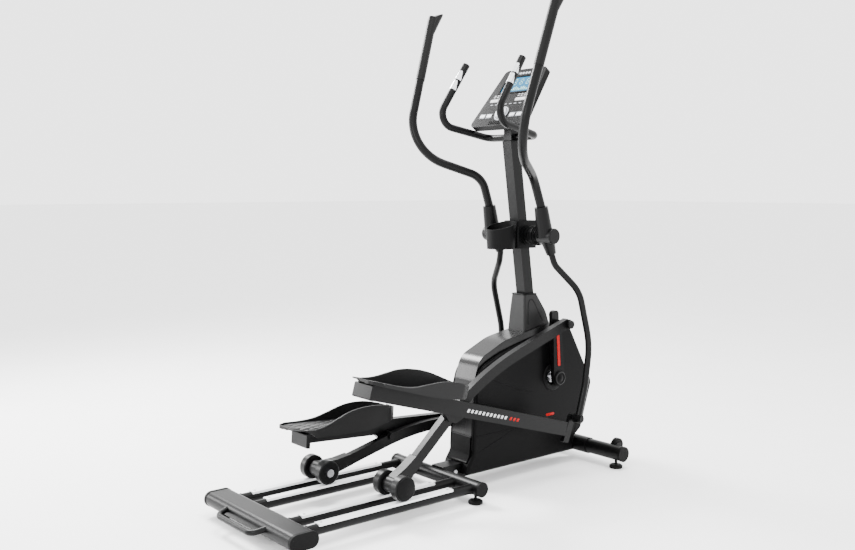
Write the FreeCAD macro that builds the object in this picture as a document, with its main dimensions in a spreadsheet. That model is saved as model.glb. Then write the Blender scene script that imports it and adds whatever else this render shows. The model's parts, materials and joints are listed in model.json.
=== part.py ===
"""Elliptical trainer: a front-drive machine with rail rollers, built as separate solids.

Frame: +X towards the console, +Y to the user's left, +Z up, millimetres, the floor at z = 0.
A side of -1 is the user's right and +1 the user's left. The right crank pin is at the top.
"""
import FreeCAD, Part
import math
import os

from FreeCAD import Placement, Rotation, Vector

X_AXIS = Vector(1, 0, 0)
Y_AXIS = Vector(0, 1, 0)
Z_AXIS = Vector(0, 0, 1)
SIDES = {"right": -1, "left": 1}

DIMENSIONS = {
    # base frame
    "tube_wall": 2.0,
    "rear_bar_x": -672.0,
    "rear_bar_depth": 95.0,
    "rear_bar_height": 48.0,
    "rear_bar_half": 248.0,
    "rear_bar_z": 54.0,
    "cross_bar_x": 28.5,
    "cross_bar_radius": 24.0,
    "cross_bar_half": 221.0,
    "cross_bar_z": 53.6,
    "front_bar_x": 710.0,
    "front_bar_radius": 27.5,
    "front_bar_half": 252.0,
    "front_bar_z": 58.0,
    "collar_radius": 30.5,
    "collar_half": 95.0,
    "cap_length": 10.0,
    "foot_radius": 24.5,
    "foot_height": 14.0,
    "stud_radius": 5.0,
    "rear_foot_y": 215.0,
    "cross_foot_y": 197.0,
    "front_foot_y": 224.5,
    "rail_radius": 16.5,
    "rail_z": 53.0,
    "inner_rail_y": 102.0,
    "outer_rail_y": 193.0,
    "strip_start": -589.0,
    "strip_end": -77.0,
    "strip_width": 26.0,
    "strip_top": 71.0,
    "strip_height": 7.0,
    "screw_radius": 4.0,
    "screw_height": 1.6,
    "beam_half_width": 28.0,
    "beam_bottom": 33.0,
    "beam_height": 50.0,
    "carry_tube_radius": 9.0,
    "transport_wheel_x": 737.5,
    "transport_wheel_z": 79.0,
    "transport_wheel_radius": 26.0,
    "transport_wheel_y": 205.0,
    "transport_wheel_width": 22.0,
    # mast and swing arms
    "mast_lean": 8.0,
    "mast_depth": 44.0,
    "mast_width": 44.0,
    "mast_top": 1208.0,
    "hub_x": 419.0,
    "hub_z": 870.0,
    "hub_axle_radius": 10.0,
    "hub_axle_half": 168.0,
    "hub_radius": 28.0,
    "hub_inner": 106.0,
    "hub_outer": 175.0,
    "handle_radius": 15.5,
    "swing_tube_radius": 11.5,
    "swing_lead": 0.73,
    "grip_radius": 17.0,
    "fixed_bar_radius": 13.0,
    "running_gap": 0.05,
    # drive
    "crank_x": 533.0,
    "crank_z": 342.0,
    "crank_throw": 207.0,
    "crank_lean": 3.9,
    "crank_axle_radius": 10.0,
    "crank_inner": 74.0,
    "crank_thickness": 16.0,
    "crank_cover": 9.0,
    "pulley_radius": 120.0,
    "pulley_inner": 28.0,
    "pulley_width": 12.0,
    "flywheel_x": 270.0,
    "flywheel_z": 262.0,
    "flywheel_radius": 98.0,
    "flywheel_width": 24.0,
    "flywheel_pulley_radius": 20.0,
    "flywheel_axle_radius": 8.0,
    "drive_plate_y": 46.0,
    "drive_plate_thickness": 3.0,
    "bearing_outer": 20.0,
    "bearing_width": 12.0,
    # roller arms, rollers and pedal bars
    "roller_radius": 39.7,
    "roller_gap": 0.3,
    "roller_width": 30.0,
    "roller_axle_radius": 8.0,
    "arm_length": 905.0,
    "arm_inner": 130.0,
    "arm_width": 25.0,
    "arm_depth": 36.0,
    "bar_inner": 164.0,
    "bar_width": 30.0,
    "bar_depth": 50.0,
    "bar_offset": 28.0,
    "bar_rear": -352.0,
    "bar_front": 533.0,
    "arm_pivot_along": 288.0,
    "arm_pivot_up": 58.0,
    "pivot_pin_radius": 8.0,
    "link_along": 554.0,
    "link_up": 73.0,
    "link_inner": 204.0,
    "link_width": 28.0,
    "link_radius": 16.0,
    "right_bar_tilt": 16.2,
    "left_bar_tilt": 3.5,
    "pedal_inner": 95.0,
    "pedal_width": 150.0,
    "pedal_rear": -400.0,
    "pedal_front": 6.0,
    "pedal_wall": 5.0,
    "pedal_floor": 57.0,
    "pedal_base": 36.0,
    "pedal_crown": 126.0,
    # housing
    "housing_half": 66.0,
    "shell_wall": 3.0,
    "spine_half": 50.0,
    # console
    "console_x": 290.0,
    "console_z": 1256.0,
    "console_lean": 36.9,
    "console_height": 263.0,
    "console_bottom_half": 135.0,
    "console_top_half": 103.0,
    "console_back_depth": 16.0,
    "console_face_depth": 7.0,
}

doc = FreeCAD.newDocument("elliptical_trainer")
sheet = doc.addObject("Spreadsheet::Sheet", "dims")
nodes = {}


def fill_sheet():
    """Write one row per driving dimension: its name, then its aliased value."""
    for row, (alias, value) in enumerate(DIMENSIONS.items(), start=1):
        sheet.set(f"A{row}", alias)
        sheet.set(f"B{row}", str(value))
        sheet.setAlias(f"B{row}", alias)
    doc.recompute()


def dim(alias):
    """Return a driving dimension from the sheet."""
    return float(sheet.get(alias))


def keep(node, item):
    """Register a finished sub-part under its node name."""
    item.Label = node
    nodes[node] = item
    return item


def pose(origin, axis=Z_AXIS):
    """Place a shape's own Z along an axis."""
    return Placement(Vector(*origin), Rotation(Z_AXIS, axis))


def primitive(kind, name, placement=None, **sizes):
    """Add a Part primitive whose sizes are expressions on the sheet."""
    item = doc.addObject(f"Part::{kind}", name)
    for prop, expression in sizes.items():
        item.setExpression(prop, expression)
    if placement is not None:
        item.Placement = placement
    return item


def join(kind, name, items):
    """Add a MultiFuse or Compound of several objects."""
    item = doc.addObject(f"Part::{kind}", name)
    setattr(item, "Links" if kind == "Compound" else "Shapes", items)
    return item


def cut(name, base, tool):
    """Add a Part::Cut of two objects."""
    item = doc.addObject("Part::Cut", name)
    item.Base = base
    item.Tool = tool
    return item


def solid(name, shape, placement=None):
    """Add a Part::Feature and give it its placement after its shape."""
    item = doc.addObject("Part::Feature", name)
    item.Shape = shape
    if placement is not None:
        item.Placement = placement
    return item


def cross_rod(name, x, z, low, high, radius):
    """Add a cylinder along Y between two heights of Y; radius is an expression."""
    placement = pose((x, low, z), Y_AXIS)
    return primitive("Cylinder", name, placement, Radius=radius, Height=f"{high - low}")


def span(side, inner, outer):
    """Return the low and high Y of a piece that lies between two distances on a side."""
    return min(side * inner, side * outer), max(side * inner, side * outer)


def corner_arcs(points, bends, closed=False):
    """Return lines and tangent arcs that follow points, with a bend radius at each corner."""
    points = [Vector(*point) for point in points]
    count = len(points)
    starts = list(points)
    ends = list(points)
    arcs = {}
    for i in range(count):
        if bends[i] == 0 or (not closed and i in (0, count - 1)):
            continue
        before = (points[i - 1] - points[i]).normalize()
        after = (points[(i + 1) % count] - points[i]).normalize()
        half = before.getAngle(after) / 2
        reach = bends[i] / math.tan(half)
        starts[i] = points[i] + before * reach
        ends[i] = points[i] + after * reach
        middle = (before + after).normalize() * (bends[i] / math.sin(half) - bends[i])
        arcs[i] = Part.Arc(starts[i], points[i] + middle, ends[i])
    pieces = []
    for i in range(count if closed else count - 1):
        following = (i + 1) % count
        if ends[i].distanceToPoint(starts[following]) > 1e-6:
            pieces.append(Part.LineSegment(ends[i], starts[following]))
        if following in arcs:
            pieces.append(arcs[following])
    return pieces


def path_wire(points, bends):
    """Return an open wire through points with rounded bends."""
    return Part.Wire([piece.toShape() for piece in corner_arcs(points, bends)])


def sweep_disc(wire, radius):
    """Sweep a full disc along a wire."""
    first = wire.Edges[0]
    start = first.valueAt(first.FirstParameter)
    along = first.tangentAt(first.FirstParameter)
    ring = Part.Wire(Part.Circle(start, along, radius).toShape())
    return wire.makePipeShell([ring], True, False)


def bent_tube(points, bends, radius, wall):
    """Return a hollow tube that follows rounded bends."""
    wire = path_wire(points, bends)
    return sweep_disc(wire, radius).cut(sweep_disc(wire, radius - wall))


def flat(points, bends=0.0):
    """Return closed outline pieces in a sketch plane from (x, z) points."""
    if not isinstance(bends, (list, tuple)):
        bends = [bends] * len(points)
    return corner_arcs([(x, z, 0) for x, z in points], bends, closed=True)


def origin_plane(body, role):
    """Return one of a body's own origin planes."""
    return next(item for item in body.Origin.OriginFeatures if item.Role == role)


def sketch_on(body, role, pieces, offset="0"):
    """Add a sketch of closed outline pieces on an origin plane, offset by an expression."""
    sketch = body.newObject("Sketcher::SketchObject", body.Name + "_sketch")
    sketch.AttachmentSupport = [(origin_plane(body, role), "")]
    sketch.MapMode = "FlatFace"
    sketch.setExpression("AttachmentOffset.Base.z", offset)
    sketch.addGeometry(pieces, False)
    return sketch


def pad_body(name, role, pieces, length, offset="0", placement=None):
    """Add a PartDesign body padded from a closed outline."""
    body = doc.addObject("PartDesign::Body", name)
    pad = body.newObject("PartDesign::Pad", name + "_pad")
    pad.Profile = sketch_on(body, role, pieces, offset)
    pad.setExpression("Length", length)
    if placement is not None:
        body.Placement = placement
    return body


def side_body(name, side, pieces, inner, width, placement=None):
    """Pad an X-Z outline outwards from a distance inner on one side of the machine."""
    offset = inner if side < 0 else f"-({inner}) - ({width})"
    return pad_body(name, "XZ_Plane", pieces, width, offset, placement)


def middle_body(name, pieces, half, placement=None):
    """Pad an X-Z outline by the same distance to both sides of the middle plane."""
    return pad_body(name, "XZ_Plane", pieces, f"2 * ({half})", f"-({half})", placement)


def turned_body(name, profile, placement):
    """Revolve an (r, z) profile about a body's own Z axis."""
    body = doc.addObject("PartDesign::Body", name)
    sketch = sketch_on(body, "XZ_Plane", flat(profile))
    turn = body.newObject("PartDesign::Revolution", name + "_turn")
    turn.Profile = sketch
    turn.ReferenceAxis = (sketch, ["V_Axis"])
    turn.Angle = 360
    body.Placement = placement
    return body


def ring_pieces(x, z, radius):
    """Return a full circle in a sketch plane."""
    return [Part.Circle(Vector(x, z, 0), Z_AXIS, radius)]


def strip_outline(points, bends, width):
    """Return the outline of a bar of a given width that follows a bent centre line."""
    half = width / 2
    flat_points = [Vector(x, z, 0) for x, z in points]
    rows = []
    for hand in (1, -1):
        row = []
        for i, point in enumerate(flat_points):
            into = (point - flat_points[max(i - 1, 0)]) if i else (flat_points[1] - point)
            out = (flat_points[i + 1] - point) if i + 1 < len(flat_points) else into
            left_in = Vector(-into.y, into.x, 0).normalize() * hand
            left_out = Vector(-out.y, out.x, 0).normalize() * hand
            miter = (left_in + left_out).normalize()
            shift = miter * (half / miter.dot(left_in))
            turn = into.cross(out).z * hand
            radius = bends[i] - math.copysign(half, turn) if bends[i] else 0
            row.append((point + shift, radius))
        rows.append(row)
    outline = rows[0] + rows[1][::-1]
    return corner_arcs([point for point, _ in outline], [radius for _, radius in outline], True)


def mirrored(points):
    """Mirror (x, y, z) points to the other side of the machine."""
    return [(x, -y, z) for x, y, z in points]


# ---------------------------------------------------------------- base frame


def slot_outline(width, height):
    """Return an oval outline, flat above and below, centred on the sketch origin."""
    reach, half = width / 2, height / 2
    corners = [(-reach, -half), (reach, -half), (reach, half), (-reach, half)]
    return flat(corners, half * 0.96)


def cross_tube(name, x, z, radius, half):
    """Add a round tube along Y, centred on the machine."""
    outer = cross_rod(name + "_outer", x, z, -half, half, radius)
    inner = cross_rod(name + "_inner", x, z, -half, half, f"{radius} - dims.tube_wall")
    return cut(name, outer, inner)


def rear_stabilizer():
    """Flat-oval tube across the rear."""
    placement = Placement(Vector(dim("rear_bar_x"), 0, dim("rear_bar_z")), Rotation())
    width, height = dim("rear_bar_depth"), dim("rear_bar_height")
    outer_pieces = slot_outline(width, height)
    outer = middle_body("rear_outer", outer_pieces, "dims.rear_bar_half", placement)
    wall = 2 * dim("tube_wall")
    inner_pieces = slot_outline(width - wall, height - wall)
    inner = middle_body("rear_inner", inner_pieces, "dims.rear_bar_half + 1", placement)
    return keep("rear_stabilizer", cut("rear_bar", outer, inner))


def wheel_bracket(side):
    """Return the two ears and the axle that hold a transport wheel."""
    label = "wheel_ear_" + ("r" if side < 0 else "l")
    centre = dim("transport_wheel_y")
    reach = dim("transport_wheel_width") / 2
    wheel_x, wheel_z = dim("transport_wheel_x"), dim("transport_wheel_z")
    bar_x, bar_z = dim("front_bar_x"), dim("front_bar_z")
    corners = [(bar_x + 8, bar_z + 4), (wheel_x + 6, wheel_z - 13)]
    corners += [(wheel_x + 6, wheel_z + 11), (wheel_x - 14, wheel_z + 11), (bar_x + 4, bar_z + 24)]
    ears = []
    for number, inner in enumerate((centre - reach - 4, centre + reach + 1)):
        ear = side_body(f"{label}{number}", side, flat(corners, 3.0), f"{inner}", "3")
        ears.append(ear)
    low, high = span(side, centre - reach - 5, centre + reach + 5)
    ears.append(cross_rod(label + "_axle", wheel_x, wheel_z, low, high, "4"))
    return ears


def front_stabilizer():
    """Round tube across the front, with its middle collar and the transport wheel ears."""
    x, z = dim("front_bar_x"), dim("front_bar_z")
    half = dim("front_bar_half")
    outer = cross_rod("front_outer", x, z, -half, half, "dims.front_bar_radius")
    collar_half = dim("collar_half")
    collar = cross_rod("front_collar", x, z, -collar_half, collar_half, "dims.collar_radius")
    bore = "dims.front_bar_radius - dims.tube_wall"
    tools = [cross_rod("front_inner", x, z, -half - 1, half + 1, bore)]
    reach = dim("transport_wheel_width") / 2 + 0.8
    for label, side in SIDES.items():
        low, high = span(side, dim("transport_wheel_y") - reach, dim("transport_wheel_y") + reach)
        tools.append(cross_rod(f"{label}_wheel_recess", dim("transport_wheel_x"), dim("transport_wheel_z"),
                               low, high, "dims.transport_wheel_radius + 1"))
    body = join("MultiFuse", "front_body", [outer, collar])
    tube = cut("front_tube", body, join("MultiFuse", "front_tools", tools))
    ears = wheel_bracket(-1) + wheel_bracket(1)
    return keep("front_stabilizer", join("MultiFuse", "front_bar", [tube] + ears))


def middle_crossbar():
    """Round tube that carries the front ends of the rails."""
    x, z = dim("cross_bar_x"), dim("cross_bar_z")
    tube = cross_tube("cross_bar", x, z, "dims.cross_bar_radius", dim("cross_bar_half"))
    return keep("middle_crossbar", tube)


def tube_end_caps():
    """Six plastic caps that close the three cross tubes."""
    caps = []
    length = dim("cap_length")
    place = Placement(Vector(dim("rear_bar_x"), 0, dim("rear_bar_z")), Rotation())
    for side in SIDES.values():
        pieces = slot_outline(dim("rear_bar_depth") + 2, dim("rear_bar_height") + 2)
        caps.append(side_body(f"rear_cap{side + 1}", side, pieces, "dims.rear_bar_half",
                              "dims.cap_length", place))
        for bar in ("cross_bar", "front_bar"):
            half = dim(bar + "_half")
            low, high = span(side, half, half + length)
            centre = (dim(bar + "_x"), dim(bar + "_z"))
            radius = f"dims.{bar}_radius + 1"
            caps.append(cross_rod(f"{bar}_cap{side + 1}", *centre, low, high, radius))
    return keep("tube_end_caps", join("Compound", "end_caps", caps))


def foot_places():
    """Return the plan position of the six feet and the underside they screw into."""
    bars = (("rear", dim("rear_bar_z") - dim("rear_bar_height") / 2),
            ("cross", dim("cross_bar_z") - dim("cross_bar_radius")),
            ("front", dim("front_bar_z") - dim("front_bar_radius")))
    return [(dim(bar + "_bar_x"), side * dim(bar + "_foot_y"), under)
            for bar, under in bars for side in SIDES.values()]


def feet():
    """Round levelling feet with their threaded studs."""
    parts = []
    height = dim("foot_height")
    for number, (x, y, under) in enumerate(foot_places()):
        radius = dim("foot_radius")
        profile = [(0, 0), (radius - 3, 0), (radius, 3), (radius, height - 4)]
        profile += [(radius - 5, height), (0, height)]
        pad = turned_body(f"foot{number}", profile, pose((x, y, 0)))
        stud = primitive("Cylinder", f"stud{number}", pose((x, y, height - 2)),
                         Radius="dims.stud_radius", Height=f"{under} - dims.foot_height + 2")
        parts.append(join("MultiFuse", f"foot_piece{number}", [pad, stud]))
    keep("leveling_feet", join("Compound", "foot_group", parts))


def rail_rows():
    """Return the four Y positions of the rails."""
    return [side * dim(rail) for side in SIDES.values() for rail in ("inner_rail_y", "outer_rail_y")]


def rail_tubes():
    """Four tubes from the rear stabilizer to the crossbar, coped at both ends."""
    start = dim("rear_bar_x") + dim("rear_bar_depth") / 2 - 12
    length = dim("cross_bar_x") - start
    tubes = []
    for number, y in enumerate(rail_rows()):
        placement = pose((start, y, dim("rail_z")), X_AXIS)
        outer = primitive("Cylinder", f"rail_outer{number}", placement,
                          Radius="dims.rail_radius", Height=f"{length}")
        inner = primitive("Cylinder", f"rail_inner{number}", placement,
                          Radius="dims.rail_radius - dims.tube_wall", Height=f"{length}")
        tubes.append(cut(f"rail{number}", outer, inner))
    cross = cross_rod("rail_cope", dim("cross_bar_x"), dim("cross_bar_z"),
                      -dim("cross_bar_half"), dim("cross_bar_half"), "dims.cross_bar_radius")
    placement = Placement(Vector(dim("rear_bar_x"), 0, dim("rear_bar_z")), Rotation())
    pieces = slot_outline(dim("rear_bar_depth"), dim("rear_bar_height"))
    rear = middle_body("rail_cope_rear", pieces, "dims.rear_bar_half", placement)
    copes = join("MultiFuse", "rail_copes", [cross, rear])
    coped = [cut(f"rail_coped{number}", tube, copes) for number, tube in enumerate(tubes)]
    keep("rail_tubes", join("Compound", "rail_group", coped))


def track_strips():
    """Aluminium running strips that saddle the rails, and their screws."""
    strips = []
    screws = []
    start, end = dim("strip_start"), dim("strip_end")
    for number, y in enumerate(rail_rows()):
        low = Vector(start, y - dim("strip_width") / 2, dim("strip_top") - dim("strip_height"))
        bar = primitive("Box", f"strip_box{number}", Placement(low, Rotation()),
                        Length="dims.strip_end - dims.strip_start",
                        Width="dims.strip_width", Height="dims.strip_height")
        tube = primitive("Cylinder", f"strip_saddle{number}", pose((start - 1, y, dim("rail_z")), X_AXIS),
                         Radius="dims.rail_radius", Height=f"{end - start + 2}")
        strips.append(cut(f"strip{number}", bar, tube))
        for tip, x in enumerate((start + 14, end - 14)):
            screws.append(primitive("Cylinder", f"screw{number}{tip}", pose((x, y, dim("strip_top"))),
                                    Radius="dims.screw_radius", Height="dims.screw_height"))
    keep("track_strips", join("Compound", "strip_group", strips))
    return screws


def beam_box(name, inset):
    """Add the main beam's box, smaller by an inset on its four long sides."""
    start, end = dim("cross_bar_x"), dim("front_bar_x")
    low = Vector(start, -dim("beam_half_width") + inset, dim("beam_bottom") + inset)
    return primitive("Box", name, Placement(low, Rotation()), Length=f"{end - start}",
                     Width=f"2 * dims.beam_half_width - {2 * inset}",
                     Height=f"dims.beam_height - {2 * inset}")


def main_beam():
    """Rectangular tube under the housing, coped to the crossbar and the front tube."""
    hollow = cut("beam_hollow", beam_box("beam_outer", 0), beam_box("beam_inner", dim("tube_wall")))
    reach = dim("beam_half_width") + 5
    rear = cross_rod("beam_cope_rear", dim("cross_bar_x"), dim("cross_bar_z"), -reach, reach,
                     "dims.cross_bar_radius")
    front = cross_rod("beam_cope_front", dim("front_bar_x"), dim("front_bar_z"), -reach, reach,
                      "dims.collar_radius")
    copes = join("MultiFuse", "beam_copes", [rear, front])
    keep("main_beam", cut("beam", hollow, copes))


def frame_fasteners(bolts):
    """Strip screws, and hexagon bolt heads on both sides of the beam's two joints."""
    for number, (x, z) in enumerate(((86, 58), (655, 58))):
        for side in SIDES.values():
            hexagon = [(x + 8 * math.cos(math.radians(60 * k)), z + 8 * math.sin(math.radians(60 * k)))
                       for k in range(6)]
            bolts.append(side_body(f"bolt{number}{side + 1}", side, flat(hexagon),
                                   "dims.beam_half_width", "5"))
    keep("frame_fasteners", join("Compound", "bolt_group", bolts))


def transport_handle():
    """U-shaped carrying tube behind the rear stabilizer."""
    root_x, root_z = -709, 62
    back_x, back_z = -754.5, 52
    points = [(root_x, -117, root_z), (back_x, -103, back_z), (back_x, 103, back_z)]
    points += [(root_x, 117, root_z)]
    tube = bent_tube(points, [0, 30, 30, 0], dim("carry_tube_radius"), 1.5)
    placement = Placement(Vector(dim("rear_bar_x"), 0, dim("rear_bar_z")), Rotation())
    outline = flat([(-dim("rear_bar_depth") / 2, -24), (47.5, -24), (47.5, 24), (-47.5, 24)], 23)
    bar = Part.Face(Part.Wire([piece.toShape() for piece in outline]))
    bar.rotate(Vector(), X_AXIS, 90)
    bar = bar.extrude(Vector(0, 300, 0))
    bar.translate(placement.Base - Vector(0, 150, 0))
    keep("transport_handle", solid("carry_handle", tube.cut(bar)))


def transport_wheels():
    """Two small wheels for tipping and rolling the machine."""
    half = dim("transport_wheel_width") / 2
    radius = dim("transport_wheel_radius")
    profile = [(4 + dim("running_gap"), -half), (radius - 3, -half), (radius, -half + 3)]
    profile += [(radius, half - 3), (radius - 3, half), (4 + dim("running_gap"), half)]
    for label, side in SIDES.items():
        place = pose((dim("transport_wheel_x"), side * dim("transport_wheel_y"),
                      dim("transport_wheel_z")), Y_AXIS)
        keep(f"{label}_transport_wheel", turned_body(f"{label}_small_wheel", profile, place))


# ---------------------------------------------------------------- mast, housing and drive


def mast_x(z):
    """Return the mast's centre line at a height."""
    return dim("hub_x") - (z - dim("hub_z")) * math.tan(math.radians(dim("mast_lean")))


def mast_prism(name, depth, width, low, high):
    """Add a box that follows the mast between two heights; depth and width are numbers."""
    lean = math.radians(dim("mast_lean"))
    corner = Vector(-depth / 2, -width / 2, 0)
    turn = Rotation(Y_AXIS, -dim("mast_lean"))
    start = Vector(mast_x(low), 0, low) + turn.multVec(corner)
    return primitive("Box", name, Placement(start, turn), Length=f"{depth}", Width=f"{width}",
                     Height=f"{(high - low) / math.cos(lean)}")


def mast():
    """Leaning rectangular post, hollow, with a pivot bore and the console saddle on its top."""
    foot = dim("beam_bottom") + dim("beam_height")
    depth, width, wall = dim("mast_depth"), dim("mast_width"), dim("tube_wall")
    outer = mast_prism("mast_outer", depth, width, foot - 10, dim("mast_top"))
    inner = mast_prism("mast_inner", depth - 2 * wall, width - 2 * wall, foot - 20,
                       dim("mast_top") + 10)
    bore = cross_rod("mast_bore", dim("hub_x"), dim("hub_z"), -60, 60, "dims.hub_axle_radius")
    seat = cross_rod("handlebar_seat", FIXED_CORNER[0], FIXED_CORNER[2], -30, 30,
                     "dims.fixed_bar_radius + dims.running_gap")
    tools = join("MultiFuse", "mast_tools", [inner, bore, seat, beam_box("mast_foot_cut", 0)])
    post = cut("mast_tube", outer, tools)
    keep("mast", join("MultiFuse", "mast_weld", [post, console_bracket()]))


def pivot_axle():
    """Fixed axle through the mast that carries both swing arms."""
    half = dim("hub_axle_half")
    keep("pivot_axle", cross_rod("pivot_rod", dim("hub_x"), dim("hub_z"), -half, half,
                                 "dims.hub_axle_radius"))


def hub_bushes():
    """Stepped plastic spacers between the mast and each swing arm."""
    bushes = []
    bore = dim("hub_axle_radius")
    steps = [(37, 34), (46, 34), (46, 26), (58, 26), (58, 33), (66, 33), (66, 27), (78, 27)]
    steps += [(78, 34), (88, 34), (88, 29), (103.4, 29)]
    for label, side in SIDES.items():
        profile = [(bore, steps[0][0])] + [(radius, y) for y, radius in steps]
        profile += [(bore, steps[-1][0])]
        place = pose((dim("hub_x"), 0, dim("hub_z")), Y_AXIS * side)
        bushes.append(turned_body(f"{label}_bush", profile, place))
    keep("hub_bushes", join("Compound", "bush_group", bushes))


def cup_holder():
    """Oval bowl behind the mast with a collar that wraps the mast."""
    centre_x, outer, wall = 326, 55, 3
    base_z, top_z = 822, 950
    bowl = Part.makeCone(outer - 5, outer + 2, top_z - base_z, Vector(centre_x, 0, base_z))
    collar_x = mast_x(dim("hub_z"))
    collar = Part.makeBox(98, 74, 100, Vector(collar_x - 46, -37, base_z))
    collar = collar.makeFillet(8, [edge for edge in collar.Edges if edge.Length == 100])
    hollow = Part.makeCone(outer - 5 - wall, outer + 2 - wall, top_z - base_z,
                           Vector(centre_x, 0, base_z + wall))
    lean = Rotation(Y_AXIS, -dim("mast_lean"))
    post = Part.makeBox(dim("mast_depth"), dim("mast_width"), 300)
    post.Placement = Placement(Vector(mast_x(base_z - 60), 0, base_z - 60)
                               + lean.multVec(Vector(-dim("mast_depth") / 2,
                                                     -dim("mast_width") / 2, 0)), lean)
    slope = Part.makeBox(260, 200, 100, Vector(-60, -100, 0))
    slope.Placement = Placement(Vector(centre_x - outer, 0, 890), Rotation(Y_AXIS, -16))
    bore = Part.makeCylinder(dim("hub_axle_radius"), 100, Vector(dim("hub_x"), -50, dim("hub_z")), Y_AXIS)
    guard = Part.makeBox(dim("mast_depth") + 8, 72, 200,
                         Vector(collar_x - dim("mast_depth") / 2 - 4, -36, base_z - 50))
    shape = bowl.fuse(collar).cut(hollow.cut(guard)).cut(slope).cut(post).cut(bore)
    keep("cup_holder", solid("bottle_bowl", shape))


HOUSING = ((104, 47), (641, 47), (656, 98), (694, 124), (752, 300), (618, 534), (500, 508), (282, 462),
           (172, 412), (151, 350), (139, 112), (120, 84))
HOUSING_BENDS = (6, 10, 12, 25, 35, 45, 0, 160, 60, 0, 20, 12)
INLET = (748.95, 296.1)
SPINE = ((141, 178), (153, 370), (178, 446), (300, 500), (512, 538), (600, 534))
SPINE_BENDS = (0, 60, 70, 200, 0, 0)


def shell_solid(outline, bends, inset, depth):
    """Extrude a housing outline, moved inwards by an inset, outwards from the middle plane."""
    wire = Part.Wire([piece.toShape() for piece in flat(outline, bends)])
    if inset:
        wire = wire.makeOffset2D(-inset)
    face = Part.Face(wire)
    face.rotate(Vector(), X_AXIS, 90)
    return face.extrude(Vector(0, -depth, 0))


def housing_shell(label, side):
    """One side of the drive housing: a side wall with a rounded rim and an edge wall."""
    half, wall = dim("housing_half"), dim("shell_wall")
    outer = shell_solid(HOUSING, HOUSING_BENDS, 0, half)
    rim = [edge for edge in outer.Edges if all(abs(v.Y + half) < 1e-3 for v in edge.Vertexes)]
    outer = outer.makeFillet(9, rim)
    inner = shell_solid(HOUSING, HOUSING_BENDS, wall, half - wall)
    shell = outer.cut(inner)
    passage = dim("spine_half") + 1
    slot = Part.makeBox(760, passage, 529, Vector(60, -passage, 83))
    clear_front = Part.makeBox(160, passage + 5, 520, Vector(600, -passage - 4, 40))
    shell = shell.cut(slot.cut(clear_front))
    foot = dim("beam_half_width") + 1
    beam_slot = Part.makeBox(700, foot, 60, Vector(60, -foot, 30))
    axle = Part.makeCylinder(30, 40, Vector(dim("crank_x"), -half - 5, dim("crank_z")), Y_AXIS)
    socket = Part.makeCylinder(8.1, 40, Vector(INLET[0] - 30, 0, INLET[1]), X_AXIS)
    shell = shell.cut([beam_slot, axle, socket])
    if side > 0:
        shell = shell.mirror(Vector(), Y_AXIS)
    keep(f"{label}_housing_shell", solid(f"{label}_shell", shell))


def spine_cover():
    """Raised centre band that runs up the rear and over the top of the housing."""
    half = dim("spine_half")
    back = [(x, z) for x, z in SPINE]
    inner = [(600, 508), (500, 497), (300, 458), (206, 420), (175, 360), (163, 178)]
    inner_bends = (0, 0, 160, 60, 30, 0)
    pieces = flat(back + inner, list(SPINE_BENDS) + list(inner_bends))
    body = middle_body("spine_block", pieces, "dims.spine_half")
    hollow = [(x + 3, z - 2 if i == 0 else z) for i, (x, z) in enumerate(SPINE[:2])]
    hollow += [(181, 443), (301, 496.5), (512, 535), (603, 531)]
    under = [(603, 500), (500, 490), (296, 452), (200, 414), (169, 358), (166, 170)]
    pieces = flat(hollow + under, list(SPINE_BENDS) + list(inner_bends))
    core = middle_body("spine_core", pieces, f"{half - 3}")
    post = mast_prism("spine_post", dim("mast_depth") + 2, dim("mast_width") + 2, 300, 700)
    tools = join("MultiFuse", "spine_tools", [core, post])
    keep("spine_cover", cut("spine_band", body, tools))


def rear_lower_cover():
    """Stepped cover at the foot of the housing's rear face, around the main beam."""
    outline = [(112, 84), (122, 92), (132, 112), (138, 176), (150, 176), (150, 84)]
    body = middle_body("foot_block", flat(outline, [3, 6, 20, 4, 0, 0]), "dims.spine_half - 1")
    outline = [(118, 80), (126, 94), (136, 112), (142, 172), (154, 172), (154, 80)]
    core = middle_body("foot_core", flat(outline, [0, 6, 20, 0, 0, 0]), "dims.spine_half - 4")
    keep("rear_lower_cover", cut("foot_cover", body, core))


def mast_boot():
    """Tapered cover where the mast meets the housing."""
    rings = ((404, 545, 516, 45), (408, 522, 585, 40), (414, 477, 654, 34))
    wires = []
    for rear, front, z, half in rings:
        corners = [(rear, -half, z), (front, -half, z), (front, half, z), (rear, half, z)]
        wires.append(Part.Wire([piece.toShape() for piece in corner_arcs(corners, [7] * 4, True)]))
    shape = Part.makeLoft(wires, True, True)
    lean = Rotation(Y_AXIS, -dim("mast_lean"))
    post = Part.makeBox(dim("mast_depth") + 1, dim("mast_width") + 1, 300)
    post.Placement = Placement(Vector(mast_x(450), 0, 450) + lean.multVec(
        Vector(-dim("mast_depth") / 2 - 0.5, -dim("mast_width") / 2 - 0.5, 0)), lean)
    band = Part.Face(Part.Wire([piece.toShape() for piece in flat(
        [(150, 300), (178, 446), (300, 500), (512, 538.5), (620, 534.5), (620, 300)], 0)]))
    band.rotate(Vector(), X_AXIS, 90)
    band = band.extrude(Vector(0, 120, 0))
    band.translate(Vector(0, -60, 0))
    keep("mast_boot", solid("boot", shape.cut(post).cut(band)))


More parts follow.
